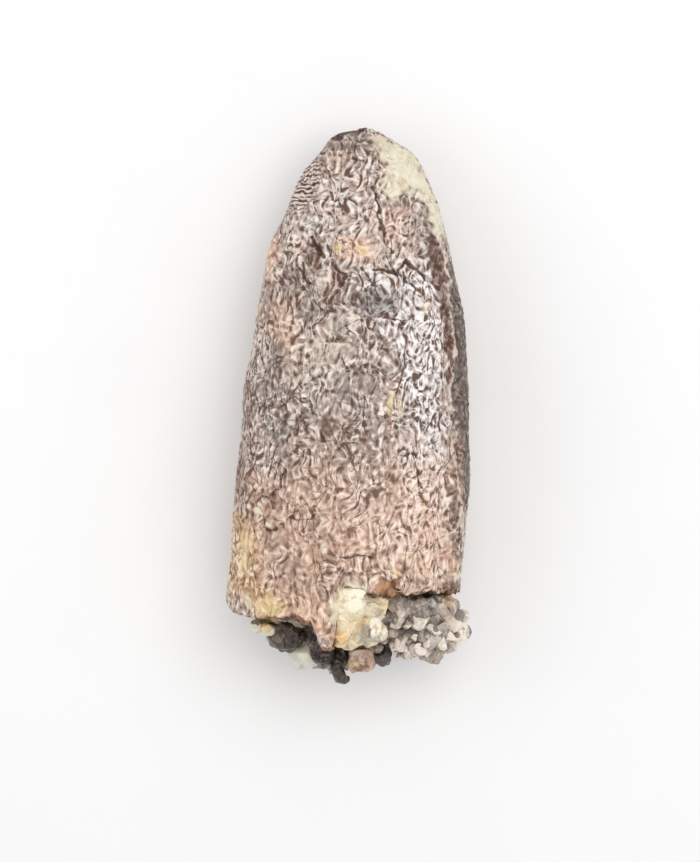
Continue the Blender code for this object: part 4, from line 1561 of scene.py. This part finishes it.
    def _dress(self, piece: bpy.types.Object, broken: np.ndarray, flat: np.ndarray) -> None:
        """Gives the skin its relief and stores what the finish reads.

        Args:
            piece: The piece.
            broken: How much each point of the grid is broken surface.
            flat: The places of the vertices on the unrolled skin.
        """
        points = points_of(piece)
        normals = normals_of(piece)
        broken = np.append(broken.ravel(), (1.0, 0.0))
        intact = 1.0 - broken
        face = smooth(points[:, 2], 2.8, 4.2) * intact
        texture = self._texture(points, flat, face)
        drift = np.stack([NOISE.read(points, 0.8, key=n) for n in (14, 15)], axis=1)
        masks = self._masks(points, face, intact, drift)
        calm = np.maximum(0.35 * masks[Tone.CREAM], 0.25 * masks[Tone.ROSE])
        wrinkled = 1.0 - np.maximum(calm, 0.1 * masks[Tone.PALE])
        stripes = np.sin(math.tau * points[:, 1] / self.stripe_wave + 1.2 * texture[Stroke.LUMPS])
        height = self._relief(points, texture) * wrinkled
        height += self.stripe_height * stripes * masks[Tone.STRIPED]
        height -= self.spall_depth * masks[Tone.SPALL]
        for kind, distances, cut in self._lines(seen_from_above(points), drift, face):
            set_values(piece, kind, distances)
            height -= cut
        rubble = 0.09 * NOISE.read(points, 0.9, key=21) + 0.05 * NOISE.read(points, 0.4, key=22)
        height = height * intact + rubble * broken
        moved = points + normals * height[:, None]
        moved[:, 2] = np.maximum(moved[:, 2], 0.0)
        set_points(piece, moved)
        blush = 0.8 * NOISE.read(points, 1.5, along=1.5, key=6) + 0.6 * NOISE.read(points, 0.8, key=8)
        stored = {
            **texture,
            **masks,
            Mark.MOTTLE: NOISE.read(points, 2.6, along=1.8, key=5),
            Mark.BLUSH: blush,
            Mark.WRINKLED: wrinkled,
            Mark.STRIPES: 0.5 + 0.5 * stripes,
            Mark.BROKEN: broken,
        }
        for channel, values in stored.items():
            set_values(piece, channel, values)

    def _texture(
        self, points: np.ndarray, flat: np.ndarray, face: np.ndarray
    ) -> dict[Stroke, np.ndarray]:
        """Makes the noises whose zero lines are the wrinkles, and the lumps between them.

        Args:
            points: The vertices in millimetres.
            flat: Their places on the unrolled skin.
            face: How much each one belongs to the outer face.

        Returns:
            The values of each noise at the vertices.
        """
        swirl = np.stack([NOISE.read(points, 1.5, key=n) for n in (11, 12)], axis=1)
        swirled = flat + 0.10 * swirl
        values = {}
        for key, (stroke, wave, along) in enumerate(self.strokes):
            outer = STROKES.read(swirled, wave, along=along, key=key)
            inner = NOISE.read(points, 0.8 * wave, along=along, key=41 + key)
            values[stroke] = (face * outer + (1.0 - face) * inner) / np.hypot(face, 1.0 - face)
        return values

    def _relief(self, points: np.ndarray, texture: dict[Stroke, np.ndarray]) -> np.ndarray:
        """Works out how high the enamel stands: long folds, lumps, valleys and ridges.

        Args:
            points: The vertices in millimetres.
            texture: The noises of the enamel.

        Returns:
            The height of each vertex in millimetres.
        """
        folds = NOISE.read(points, 1.7, along=3.2, key=7)
        valleys = smooth(np.abs(texture[Stroke.DARK_WIDE]), 0.5, 0.0)
        ridges = smooth(np.abs(texture[Stroke.PALE_WIDE]), 0.5, 0.0)
        lumps = np.tanh(texture[Stroke.LUMPS])
        fine = self.lump_height * lumps - self.valley_depth * valleys + self.ridge_height * ridges
        return fine + self.fold_height * folds

    def _masks(
        self, points: np.ndarray, face: np.ndarray, intact: np.ndarray, drift: np.ndarray
    ) -> dict[Tone, np.ndarray]:
        """Works out where the stains, painted sheen and painted shade of the whole skin lie.

        The outer face has the photograph's stains, painted sheen and painted shade, with edges that
        grow ragged down the sides.
        The inner face, which no photograph shows, has clouds of the same ones.

        Args:
            points: The vertices in millimetres.
            face: How much each one belongs to the outer face.
            intact: How much each one is unbroken enamel.
            drift: Noise that makes the outlines wander.

        Returns:
            A value from 0 to 1 at each vertex for every tone.
        """
        loose = drift * (1.0 + 6.0 * smooth(points[:, 2], 5.4, 3.4))[:, None]
        fringe = 0.8 * NOISE.read(points, 1.8, key=16)
        outer = smooth(points[:, 2] + fringe, 2.2, 4.0) * intact
        masks = tone_masks(seen_from_above(points), loose, outer, PATCHES, AREAS)
        for key, (tone, wave, level, strength) in enumerate(self.hidden_stains):
            cloud = NOISE.read(points, wave, along=1.6, key=31 + key)
            hidden = strength * smooth(cloud, level, level + 0.8) * (1.0 - face)
            masks[tone] = np.maximum(masks[tone], hidden)
        return masks

    def _lines(
        self, seen: np.ndarray, drift: np.ndarray, face: np.ndarray
    ) -> list[tuple[LineKind, np.ndarray, np.ndarray]]:
        """Works out how far each point is from the cracks, seams and pale lines.

        Args:
            seen: The places of the points, seen from above.
            drift: Noise that makes the lines wander.
            face: How much each point belongs to the outer face.

        Returns:
            For each kind of line, the distance from its edge, and how deep it cuts in.
        """
        found = []
        for kind in LineKind:
            nearest = np.full(len(seen), self.no_line)
            cut = np.zeros(len(seen))
            for line in (line for line in LINES if line.kind is kind):
                gap = distance_to_path(seen + line.wander * drift, np.array(line.path))
                nearest = np.minimum(nearest, gap - line.width / 2)
                cut += line.depth * np.exp(-((gap / (0.5 * line.width + 0.06)) ** 2))
            found.append((kind, np.where(face > 0.5, nearest, self.no_line), cut * face))
        return found


@dataclass(frozen=True)
class StoneFinish:
    """A natural stone: clouded, speckled by its grains, lighter on fresh facets, with painted shade
    in its low places.
    """

    name: str
    body: Colour
    cloud: Colour
    speck: Colour
    facet: Colour
    # The dark of darker grains and facets, and the painted shade of low places.
    hollow: Colour
    speck_size: float = 0.16
    specks: float = 0.5
    clouds: float = 0.7
    facets: float = 0.5
    rough: float = 0.6
    relief: float = 0.02
    grain: float = 0.35
    clear: float = 0.0
    bending: float = 1.54
    tones: tuple[tuple[Tone, Colour], ...] = (
        (Tone.SLATE, paint(128, 122, 118)),
        (Tone.PALE, paint(250, 246, 222)),
        (Tone.OCHRE, paint(206, 168, 118)),
        # Near-black umber: painted shadow in the stones' recesses, partly dark stain.
        (Tone.UMBER, paint(40, 30, 25)),
        (Tone.GOLD, paint(252, 206, 132)),
        (Tone.CREAM, paint(255, 252, 240)),
    )

    def material(self) -> bpy.types.Material:
        """Builds the material.

        Returns:
            The material.
        """
        recipe = Recipe(self.name)
        cloud = recipe.noise(0.55, detail=3.0)
        fine = recipe.noise(0.10, detail=2.0)
        colour = recipe.mix(recipe.ease(cloud, 0.36, 0.64, self.clouds), self.body, self.cloud)
        for tone, tint in self.tones:
            colour = recipe.mix(recipe.attribute(tone), colour, tint)
        # Fewer specks and bright facets where umber paints shadow and stain.
        unshaded_unstained = recipe.ramp(recipe.attribute(Tone.UMBER), 0.0, 1.0, 1.0, 0.25)
        specks = recipe.ease(recipe.grains(self.speck_size), 0.55, 0.95, self.specks)
        colour = recipe.mix(recipe.times(specks, unshaded_unstained), colour, self.speck)
        chip = recipe.attribute(Mark.CHIP)
        fresh = recipe.times(recipe.ease(chip, 0.5, 1.0, self.facets), unshaded_unstained)
        colour = recipe.mix(fresh, colour, self.facet)
        colour = recipe.mix(recipe.ease(chip, 0.5, 0.0, self.facets * 0.7), colour, self.hollow)
        # Painted shade in the low places of the relief.
        painted_hollow_shade = recipe.ease(recipe.attribute(Mark.HOLLOW_SHADE), 0.2, 1.0, 0.8)
        colour = recipe.mix(painted_hollow_shade, colour, self.hollow)
        colour = recipe.mix(recipe.ease(fine, 0.6, 0.3, self.grain), colour, self.hollow)
        roughness = recipe.plus(recipe.ease(fine, 0.35, 0.65, 0.2), self.rough - 0.1)
        recipe.relief((cloud, 3.0 * self.relief), (fine, self.relief))
        return recipe.finished(colour, roughness, Transmission_Weight=self.clear, IOR=self.bending)


SANDSTONE = StoneFinish(
    "sandstone",
    body=paint(194, 181, 168),
    cloud=paint(160, 148, 138),
    speck=paint(236, 222, 206),
    facet=paint(240, 227, 212),
    hollow=paint(82, 67, 58),
    specks=0.6,
    rough=0.75,
    relief=0.03,
)
CALCITE = StoneFinish(
    "calcite",
    body=paint(246, 232, 196),
    cloud=paint(236, 214, 170),
    speck=paint(254, 250, 236),
    facet=paint(255, 252, 240),
    hollow=paint(214, 182, 138),
    specks=0.4,
    facets=0.25,
    rough=0.45,
)
IRONSTONE = StoneFinish(
    "ironstone",
    body=paint(96, 82, 74),
    cloud=paint(66, 54, 47),
    speck=paint(146, 132, 122),
    facet=paint(158, 147, 137),
    hollow=paint(32, 25, 21),
    specks=0.35,
    facets=0.6,
    rough=0.42,
)
CHERT = StoneFinish(
    "chert",
    body=paint(236, 230, 208),
    cloud=paint(206, 200, 178),
    speck=paint(252, 248, 230),
    facet=paint(250, 245, 226),
    hollow=paint(146, 134, 112),
    specks=0.5,
    rough=0.5,
)
# Its near-white and darker facets are partly painted light and shade, set facet by facet.
QUARTZ = StoneFinish(
    "quartz",
    body=paint(230, 227, 213),
    cloud=paint(206, 200, 184),
    speck=paint(252, 250, 244),
    facet=paint(255, 254, 248),
    hollow=paint(158, 150, 134),
    specks=0.0,
    clouds=0.6,
    facets=0.95,
    rough=0.2,
    relief=0.004,
    grain=0.1,
    clear=0.06,
)
FELDSPAR = StoneFinish(
    "feldspar",
    body=paint(196, 164, 144),
    cloud=paint(166, 136, 120),
    speck=paint(232, 210, 190),
    facet=paint(232, 208, 190),
    hollow=paint(108, 80, 66),
    specks=0.4,
    rough=0.5,
)


@dataclass(frozen=True)
class GrainFinish:
    """Loose sand grains of many kinds, glued into the stone between them."""

    dark: Colour = paint(84, 70, 60)
    light: Colour = paint(250, 240, 226)
    kinds: tuple[tuple[float, Colour], ...] = (
        (0.00, paint(140, 130, 122)),
        (0.12, paint(190, 178, 168)),
        (0.30, paint(232, 218, 206)),
        (0.56, paint(250, 232, 218)),
        (0.78, paint(254, 246, 230)),
        (0.93, paint(232, 206, 184)),
        (1.00, paint(120, 106, 96)),
    )

    def material(self) -> bpy.types.Material:
        """Builds the material.

        Returns:
            The material.
        """
        recipe = Recipe("sand_grains")
        ramp = recipe.tree.nodes.new("ShaderNodeValToRGB")
        recipe.link(recipe.attribute(Mark.KIND), ramp.inputs["Fac"])
        stops = ramp.color_ramp.elements
        stops[0].position, stops[0].color = self.kinds[0]
        stops[1].position, stops[1].color = self.kinds[-1]
        for place, colour in self.kinds[1:-1]:
            stops.new(place).color = colour
        cloud = recipe.noise(0.25, detail=3.0)
        fine = recipe.noise(0.06, detail=1.0)
        chip = recipe.attribute(Mark.CHIP)
        colour = recipe.mix(recipe.ease(cloud, 0.6, 0.35, 0.3), ramp.outputs["Color"], self.dark)
        colour = recipe.mix(recipe.ease(chip, 0.55, 1.0, 0.7), colour, self.light)
        colour = recipe.mix(recipe.ease(chip, 0.35, 0.0, 0.45), colour, self.dark)
        roughness = recipe.plus(recipe.ease(fine, 0.3, 0.7, 0.25), 0.3)
        recipe.relief((cloud, 0.02), (fine, 0.006))
        return recipe.finished(colour, roughness)


@dataclass(frozen=True)
class Lump:
    """A rounded mass that fills out a stone's form."""

    centre: tuple[float, float, float]
    radii: tuple[float, float, float]


def evenly_meshed(node: str, name: str, cell: float, lumps: tuple[Lump, ...]) -> bpy.types.Object:
    """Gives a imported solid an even, fine mesh, joined with lumps that fill out its form.

    Args:
        node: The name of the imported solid.
        name: The name of the new object.
        cell: The size of the new mesh's faces in millimetres.
        lumps: The lumps.

    Returns:
        The object.
    """
    shape = bmesh.new()
    shape.from_mesh(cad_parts[node].data)
    bmesh.ops.scale(shape, vec=Vector((1.0, 1.0, 1.0)) / MM, verts=shape.verts)
    for lump in lumps:
        place = Matrix.Translation(lump.centre) @ Matrix.Diagonal((*lump.radii, 1.0))
        bmesh.ops.create_icosphere(shape, subdivisions=4, radius=1.0, matrix=place)
    bmesh.ops.remove_doubles(shape, verts=shape.verts, dist=0.002)
    coarse = bpy.data.meshes.new("coarse")
    shape.to_mesh(coarse)
    shape.free()
    holder = bpy.data.objects.new("coarse", coarse)
    bpy.context.scene.collection.objects.link(holder)
    even = holder.modifiers.new("even", "REMESH")
    even.mode = "VOXEL"
    even.voxel_size = cell
    seen = holder.evaluated_get(bpy.context.evaluated_depsgraph_get())
    mesh = seen.to_mesh()
    points = np.array([vertex.co for vertex in mesh.vertices])
    faces = [tuple(polygon.vertices) for polygon in mesh.polygons]
    seen.to_mesh_clear()
    bpy.data.objects.remove(holder)
    bpy.data.meshes.remove(coarse)
    return new_object(name, points, faces)


def chipped(
    points: np.ndarray, normals: np.ndarray, count: int, depth: float, dice: np.random.Generator
) -> tuple[np.ndarray, np.ndarray]:
    """Breaks flat facets into a stone.

    Args:
        points: The stone's vertices in millimetres.
        normals: The directions in which they face.
        count: How many facets there are.
        depth: The depth of the deepest one.
        dice: Where the random choices come from.

    Returns:
        The moved vertices, and a value for each that tells the facets apart, 0.5 between them.
    """
    moved = points.copy()
    tint = np.full(len(points), 0.5)
    for at in dice.integers(len(points), size=count):
        facing = normals[at] + dice.normal(0.0, CHIP_TILT, 3)
        facing /= np.linalg.norm(facing)
        level = points[at] @ facing - depth * dice.uniform(0.4, 1.0)
        near = np.linalg.norm(points - points[at], axis=1) < CHIP_REACH
        beyond = np.where(near, moved @ facing - level, 0.0)
        cut = beyond > 0.0
        moved[cut] -= beyond[cut, None] * facing
        tint[cut] = dice.uniform(0.0, 1.0)
    return moved, tint


@dataclass
class Stone:
    """A stone of the matrix: an even mesh over the solid, roughened and chipped."""

    node: str
    slot: str
    finish: StoneFinish
    cell: float = 0.055
    grow: float = 0.07
    bumps: tuple[tuple[float, float], ...] = ((0.9, 0.05), (0.42, 0.03), (0.22, 0.012))
    chips: int = 24
    chip_depth: float = 0.07
    lumps: tuple[Lump, ...] = ()
    patches: tuple[Patch, ...] = ()
    key: int = 50

    def build(self) -> bpy.types.Object:
        """Builds and dresses the stone.

        Returns:
            The piece.
        """
        piece = evenly_meshed(self.node, f"{self.node}_stone", self.cell, self.lumps)
        self._shape(piece)
        self._dress(piece)
        piece.data.materials.append(self.finish.material())
        return dressed(piece, self.slot, self.node)

    def _shape(self, piece: bpy.types.Object) -> None:
        """Grows the stone towards its neighbours, roughens it and breaks facets into it.

        Args:
            piece: The piece.
        """
        points, normals = points_of(piece), normals_of(piece)
        relief = np.full(len(points), self.grow)
        for n, (wave, amount) in enumerate(self.bumps):
            relief += amount * NOISE.read(points, wave, key=self.key + n)
        moved = points + normals * relief[:, None]
        dice = np.random.default_rng(self.key)
        moved, tint = chipped(moved, normals, self.chips, self.chip_depth, dice)
        set_points(piece, moved)
        set_values(piece, Mark.CHIP, tint)
        # Marks the low places of the relief for painted shade.
        low, high = np.percentile(relief, (2, 45))
        set_values(piece, Mark.HOLLOW_SHADE, smooth(relief, high, low))

    def _dress(self, piece: bpy.types.Object) -> None:
        """Stores where the stone's stains and painted shadows lie.

        Args:
            piece: The piece.
        """
        points = points_of(piece)
        drift = np.stack([NOISE.read(points, 0.7, key=self.key + n) for n in (5, 6)], axis=1)
        upper = np.ones(len(points))
        masks = tone_masks(seen_from_above(points), 1.5 * drift, upper, self.patches)
        for tone, _ in self.finish.tones:
            set_values(piece, tone, masks[tone])


@dataclass
class SandGrains:
    """Angular grains that stand out of the sandstone, as one piece."""

    matrix: bpy.types.Object
    slot: str = "sandstone"
    coarse_count: int = 150
    coarse_size: tuple[float, float] = (0.38, 0.64)
    coarse_apart: float = 0.54
    coarse_detail: int = 3
    coarse_right_of: float = 2.6
    coarse_below: float = -8.9
    coarse_above: float = -11.5
    fine_count: int = 110
    fine_size: tuple[float, float] = (0.10, 0.19)
    fine_apart: float = 0.22
    fine_detail: int = 2
    in_open_below: float = -8.1
    bare_middle: float = -1.6
    bare_half_width: float = 1.9
    facets: int = 8
    facet_depth: tuple[float, float] = (0.36, 0.66)
    stretch: tuple[float, float] = (0.75, 1.25)
    sunk: float = 0.4
    crease: float = 28.0
    seed: int = 5
    finish: GrainFinish = field(default_factory=GrainFinish)

    def build(self) -> bpy.types.Object:
        """Builds and dresses the grains.

        Returns:
            The piece.
        """
        self.dice = np.random.default_rng(self.seed)
        self.points = points_of(self.matrix)
        self.normals = normals_of(self.matrix)
        across, along = self.points[:, 0], self.points[:, 1]
        in_open = along < self.in_open_below
        in_open &= np.abs(across - self.bare_middle) > self.bare_half_width
        coarse = in_open & (across > self.coarse_right_of)
        coarse &= (along < self.coarse_below) & (along > self.coarse_above)
        coarse_spots = self._spots(coarse, self.coarse_count, self.coarse_apart)
        batches = [self._grains(coarse_spots, self.coarse_detail, self.coarse_size)]
        fine_spots = self._spots(in_open, self.fine_count, self.fine_apart)
        batches.append(self._grains(fine_spots, self.fine_detail, self.fine_size))
        points, faces, kinds, tints = [], [], [], []
        for batch_points, batch_faces, batch_kinds, batch_tints in batches:
            offset = sum(len(p) for p in points)
            points.append(batch_points)
            faces.extend(tuple(v + offset for v in face) for face in batch_faces)
            kinds.append(batch_kinds)
            tints.append(batch_tints)
        piece = new_object("sand_grains", np.concatenate(points), faces)
        piece.data.set_sharp_from_angle(angle=math.radians(self.crease))
        set_values(piece, Mark.KIND, np.concatenate(kinds))
        set_values(piece, Mark.CHIP, np.concatenate(tints))
        piece.data.materials.append(self.finish.material())
        return dressed(piece, self.slot)

    def _spots(self, allowed: np.ndarray, count: int, apart: float) -> list[int]:
        """Chooses vertices of the sandstone for grains to sit at.

        Args:
            allowed: Which vertices may be chosen.
            count: How many are wanted.
            apart: How far apart they stay, in millimetres.

        Returns:
            The chosen vertices.
        """
        chosen = []
        for at in self.dice.permutation(np.flatnonzero(allowed)):
            place = self.points[at]
            if chosen and np.min(np.linalg.norm(self.points[chosen] - place, axis=1)) < apart:
                continue
            chosen.append(int(at))
            if len(chosen) == count:
                break
        return chosen

    def _grains(
        self, spots: list[int], detail: int, sizes: tuple[float, float]
    ) -> tuple[np.ndarray, list[tuple[int, ...]], np.ndarray, np.ndarray]:
        """Makes a grain at each spot.

        Args:
            spots: The sandstone's vertices where they sit.
            detail: How finely each grain is divided.
            sizes: The smallest and the largest radius.

        Returns:
            The vertices, the faces, and for each vertex its grain's kind and its facet's tint.
        """
        shape = bmesh.new()
        bmesh.ops.create_icosphere(shape, subdivisions=detail, radius=1.0)
        ball = np.array([vertex.co for vertex in shape.verts])
        ball_faces = [tuple(vertex.index for vertex in face.verts) for face in shape.faces]
        shape.free()
        points, faces, kinds, tints = [], [], [], []
        for n, at in enumerate(spots):
            grain = ball.copy()
            tint = np.full(len(ball), 0.5)
            for facing in self.dice.normal(size=(self.facets, 3)):
                facing /= np.linalg.norm(facing)
                beyond = grain @ facing - self.dice.uniform(*self.facet_depth)
                cut = beyond > 0.0
                grain[cut] -= beyond[cut, None] * facing
                tint[cut] = self.dice.uniform(0.0, 1.0)
            size = self.dice.uniform(*sizes)
            grain *= size * self.dice.uniform(*self.stretch, 3)
            grain = grain @ np.array(self._turn())
            points.append(grain + self.points[at] - self.sunk * size * self.normals[at])
            faces.extend(tuple(v + n * len(ball) for v in face) for face in ball_faces)
            kinds.append(np.full(len(ball), self.dice.uniform(0.0, 1.0)))
            tints.append(tint)
        return np.concatenate(points), faces, np.concatenate(kinds), np.concatenate(tints)

    def _turn(self) -> Matrix:
        """Gives a random turn in space."""
        axis = Vector(self.dice.normal(size=3)).normalized()
        return Matrix.Rotation(float(self.dice.uniform(0.0, math.tau)), 3, axis)


@dataclass(frozen=True)
class Lamp:
    """A soft square light: where it hangs and its width, in millimetres, and its power."""

    name: str
    place: tuple[float, float, float]
    width: float
    watts: float


@dataclass
class Studio:
    """The camera of the photograph, a pale floor and soft lights."""

    lens: float = 100.0
    sensor: float = 36.0
    nearest: float = 1.0
    farthest: float = 10000.0
    floor_width: float = 900.0
    paper: tuple[Colour, Colour] = (paint(251, 251, 251), paint(254, 254, 254))
    sky: float = 0.71
    aim: tuple[float, float, float] = (0.0, 4.0, 5.0)
    lamps: tuple[Lamp, ...] = (
        Lamp("key", (36.0, 24.0, 118.0), 90.0, 0.050),
        Lamp("fill", (-70.0, 10.0, 70.0), 60.0, 0.010),
    )

    def build(self) -> None:
        """Builds the studio."""
        self._camera()
        self._floor()
        for lamp in self.lamps:
            self._hang(lamp)
        self._sky()

    def _camera(self) -> None:
        """Places the camera straight above the tooth."""
        data = bpy.data.cameras.new("camera")
        data.lens = self.lens
        data.sensor_width = self.sensor
        data.clip_start = self.nearest * MM
        data.clip_end = self.farthest * MM
        camera = bpy.data.objects.new("camera", data)
        camera.location = EYE * MM
        bpy.context.scene.collection.objects.link(camera)
        bpy.context.scene.camera = camera

    def _floor(self) -> None:
        """Lays a pale floor under the tooth."""
        half = self.floor_width / 2
        corners = ((-half, -half, 0.0), (half, -half, 0.0), (half, half, 0.0), (-half, half, 0.0))
        floor = new_object("floor", np.array(corners), [(0, 1, 2, 3)])
        recipe = Recipe("pale_floor")
        paper = recipe.mix(recipe.noise(6.0, detail=3.0), *self.paper)
        floor.data.materials.append(recipe.finished(paper, 0.9))

    def _hang(self, lamp: Lamp) -> None:
        """Hangs a soft light that points at the tooth.

        Args:
            lamp: The light.
        """
        data = bpy.data.lights.new(lamp.name, "AREA")
        data.size = lamp.width * MM
        data.energy = lamp.watts
        light = bpy.data.objects.new(lamp.name, data)
        light.location = Vector(lamp.place) * MM
        aim = Vector(self.aim) - Vector(lamp.place)
        light.rotation_euler = aim.to_track_quat("-Z", "Y").to_euler()
        bpy.context.scene.collection.objects.link(light)

    def _sky(self) -> None:
        """Fills the room with even light."""
        world = bpy.data.worlds.new("room")
        world.use_nodes = True
        background = world.node_tree.nodes["Background"]
        background.inputs["Color"].default_value = (1.0, 1.0, 1.0, 1.0)
        background.inputs["Strength"].default_value = self.sky
        bpy.context.scene.world = world
        bpy.context.scene.view_settings.view_transform = "Standard"


def main() -> None:
    """Builds every piece in order and reports it."""
    logging.basicConfig(level=logging.INFO, format="%(message)s")
    matrix = Stone(
        "sandstone_matrix",
        "sandstone",
        SANDSTONE,
        cell=0.09,
        grow=0.17,
        bumps=((1.3, 0.09), (0.6, 0.06), (0.30, 0.03)),
        chips=260,
        chip_depth=0.07,
        patches=MATRIX_PATCHES,
        key=51,
    )
    calcite = Stone(
        "calcite_lump",
        "calcite",
        CALCITE,
        grow=0.10,
        chips=34,
        chip_depth=0.05,
        lumps=(
            Lump((-0.42, -9.6, 9.75), (0.50, 1.0, 0.80)),
            Lump((0.15, -8.10, 9.6), (1.15, 0.95, 1.05)),
            Lump((1.35, -8.30, 9.0), (1.05, 0.75, 0.9)),
            Lump((0.45, -9.60, 9.1), (0.80, 1.00, 0.8)),
            Lump((1.50, -9.90, 8.9), (0.75, 0.70, 0.6)),
            Lump((0.30, -7.50, 9.85), (0.95, 0.50, 0.75)),
        ),
        patches=CALCITE_PATCHES,
        key=61,
    )
    stones = (
        Stone("left_nodule", "ironstone", IRONSTONE, patches=NODULE_PATCHES, key=66),
        Stone("right_nodule", "ironstone", IRONSTONE, patches=NODULE_PATCHES, key=71),
        Stone(
            "tail_nodule",
            "ironstone",
            IRONSTONE,
            lumps=(Lump((-0.62, -12.15, 6.3), (0.42, 0.75, 0.6)),),
            patches=NODULE_PATCHES,
            key=76,
        ),
        Stone(
            "chert_grain",
            "chert",
            CHERT,
            lumps=(
                Lump((-4.75, -9.70, 7.1), (0.42, 0.42, 0.85)),
                Lump((-5.45, -9.55, 6.9), (0.40, 0.45, 0.75)),
            ),
            patches=CHERT_PATCHES,
            key=81,
        ),
        Stone(
            "quartz_pebble",
            "quartz",
            QUARTZ,
            bumps=((0.9, 0.01),),
            patches=QUARTZ_PATCHES,
            chips=10,
            chip_depth=0.26,
            key=86,
        ),
        Stone("feldspar_block", "feldspar", FELDSPAR, patches=FELDSPAR_PATCHES, key=91),
    )
    built = [maker.build() for maker in (Crown(), matrix, calcite, *stones)]
    built.append(SandGrains(built[1]).build())
    for piece in built:
        LOG.info("%s: %d faces", piece.name, len(piece.data.polygons))
    Studio().build()


if __name__ == "__main__":
    main()
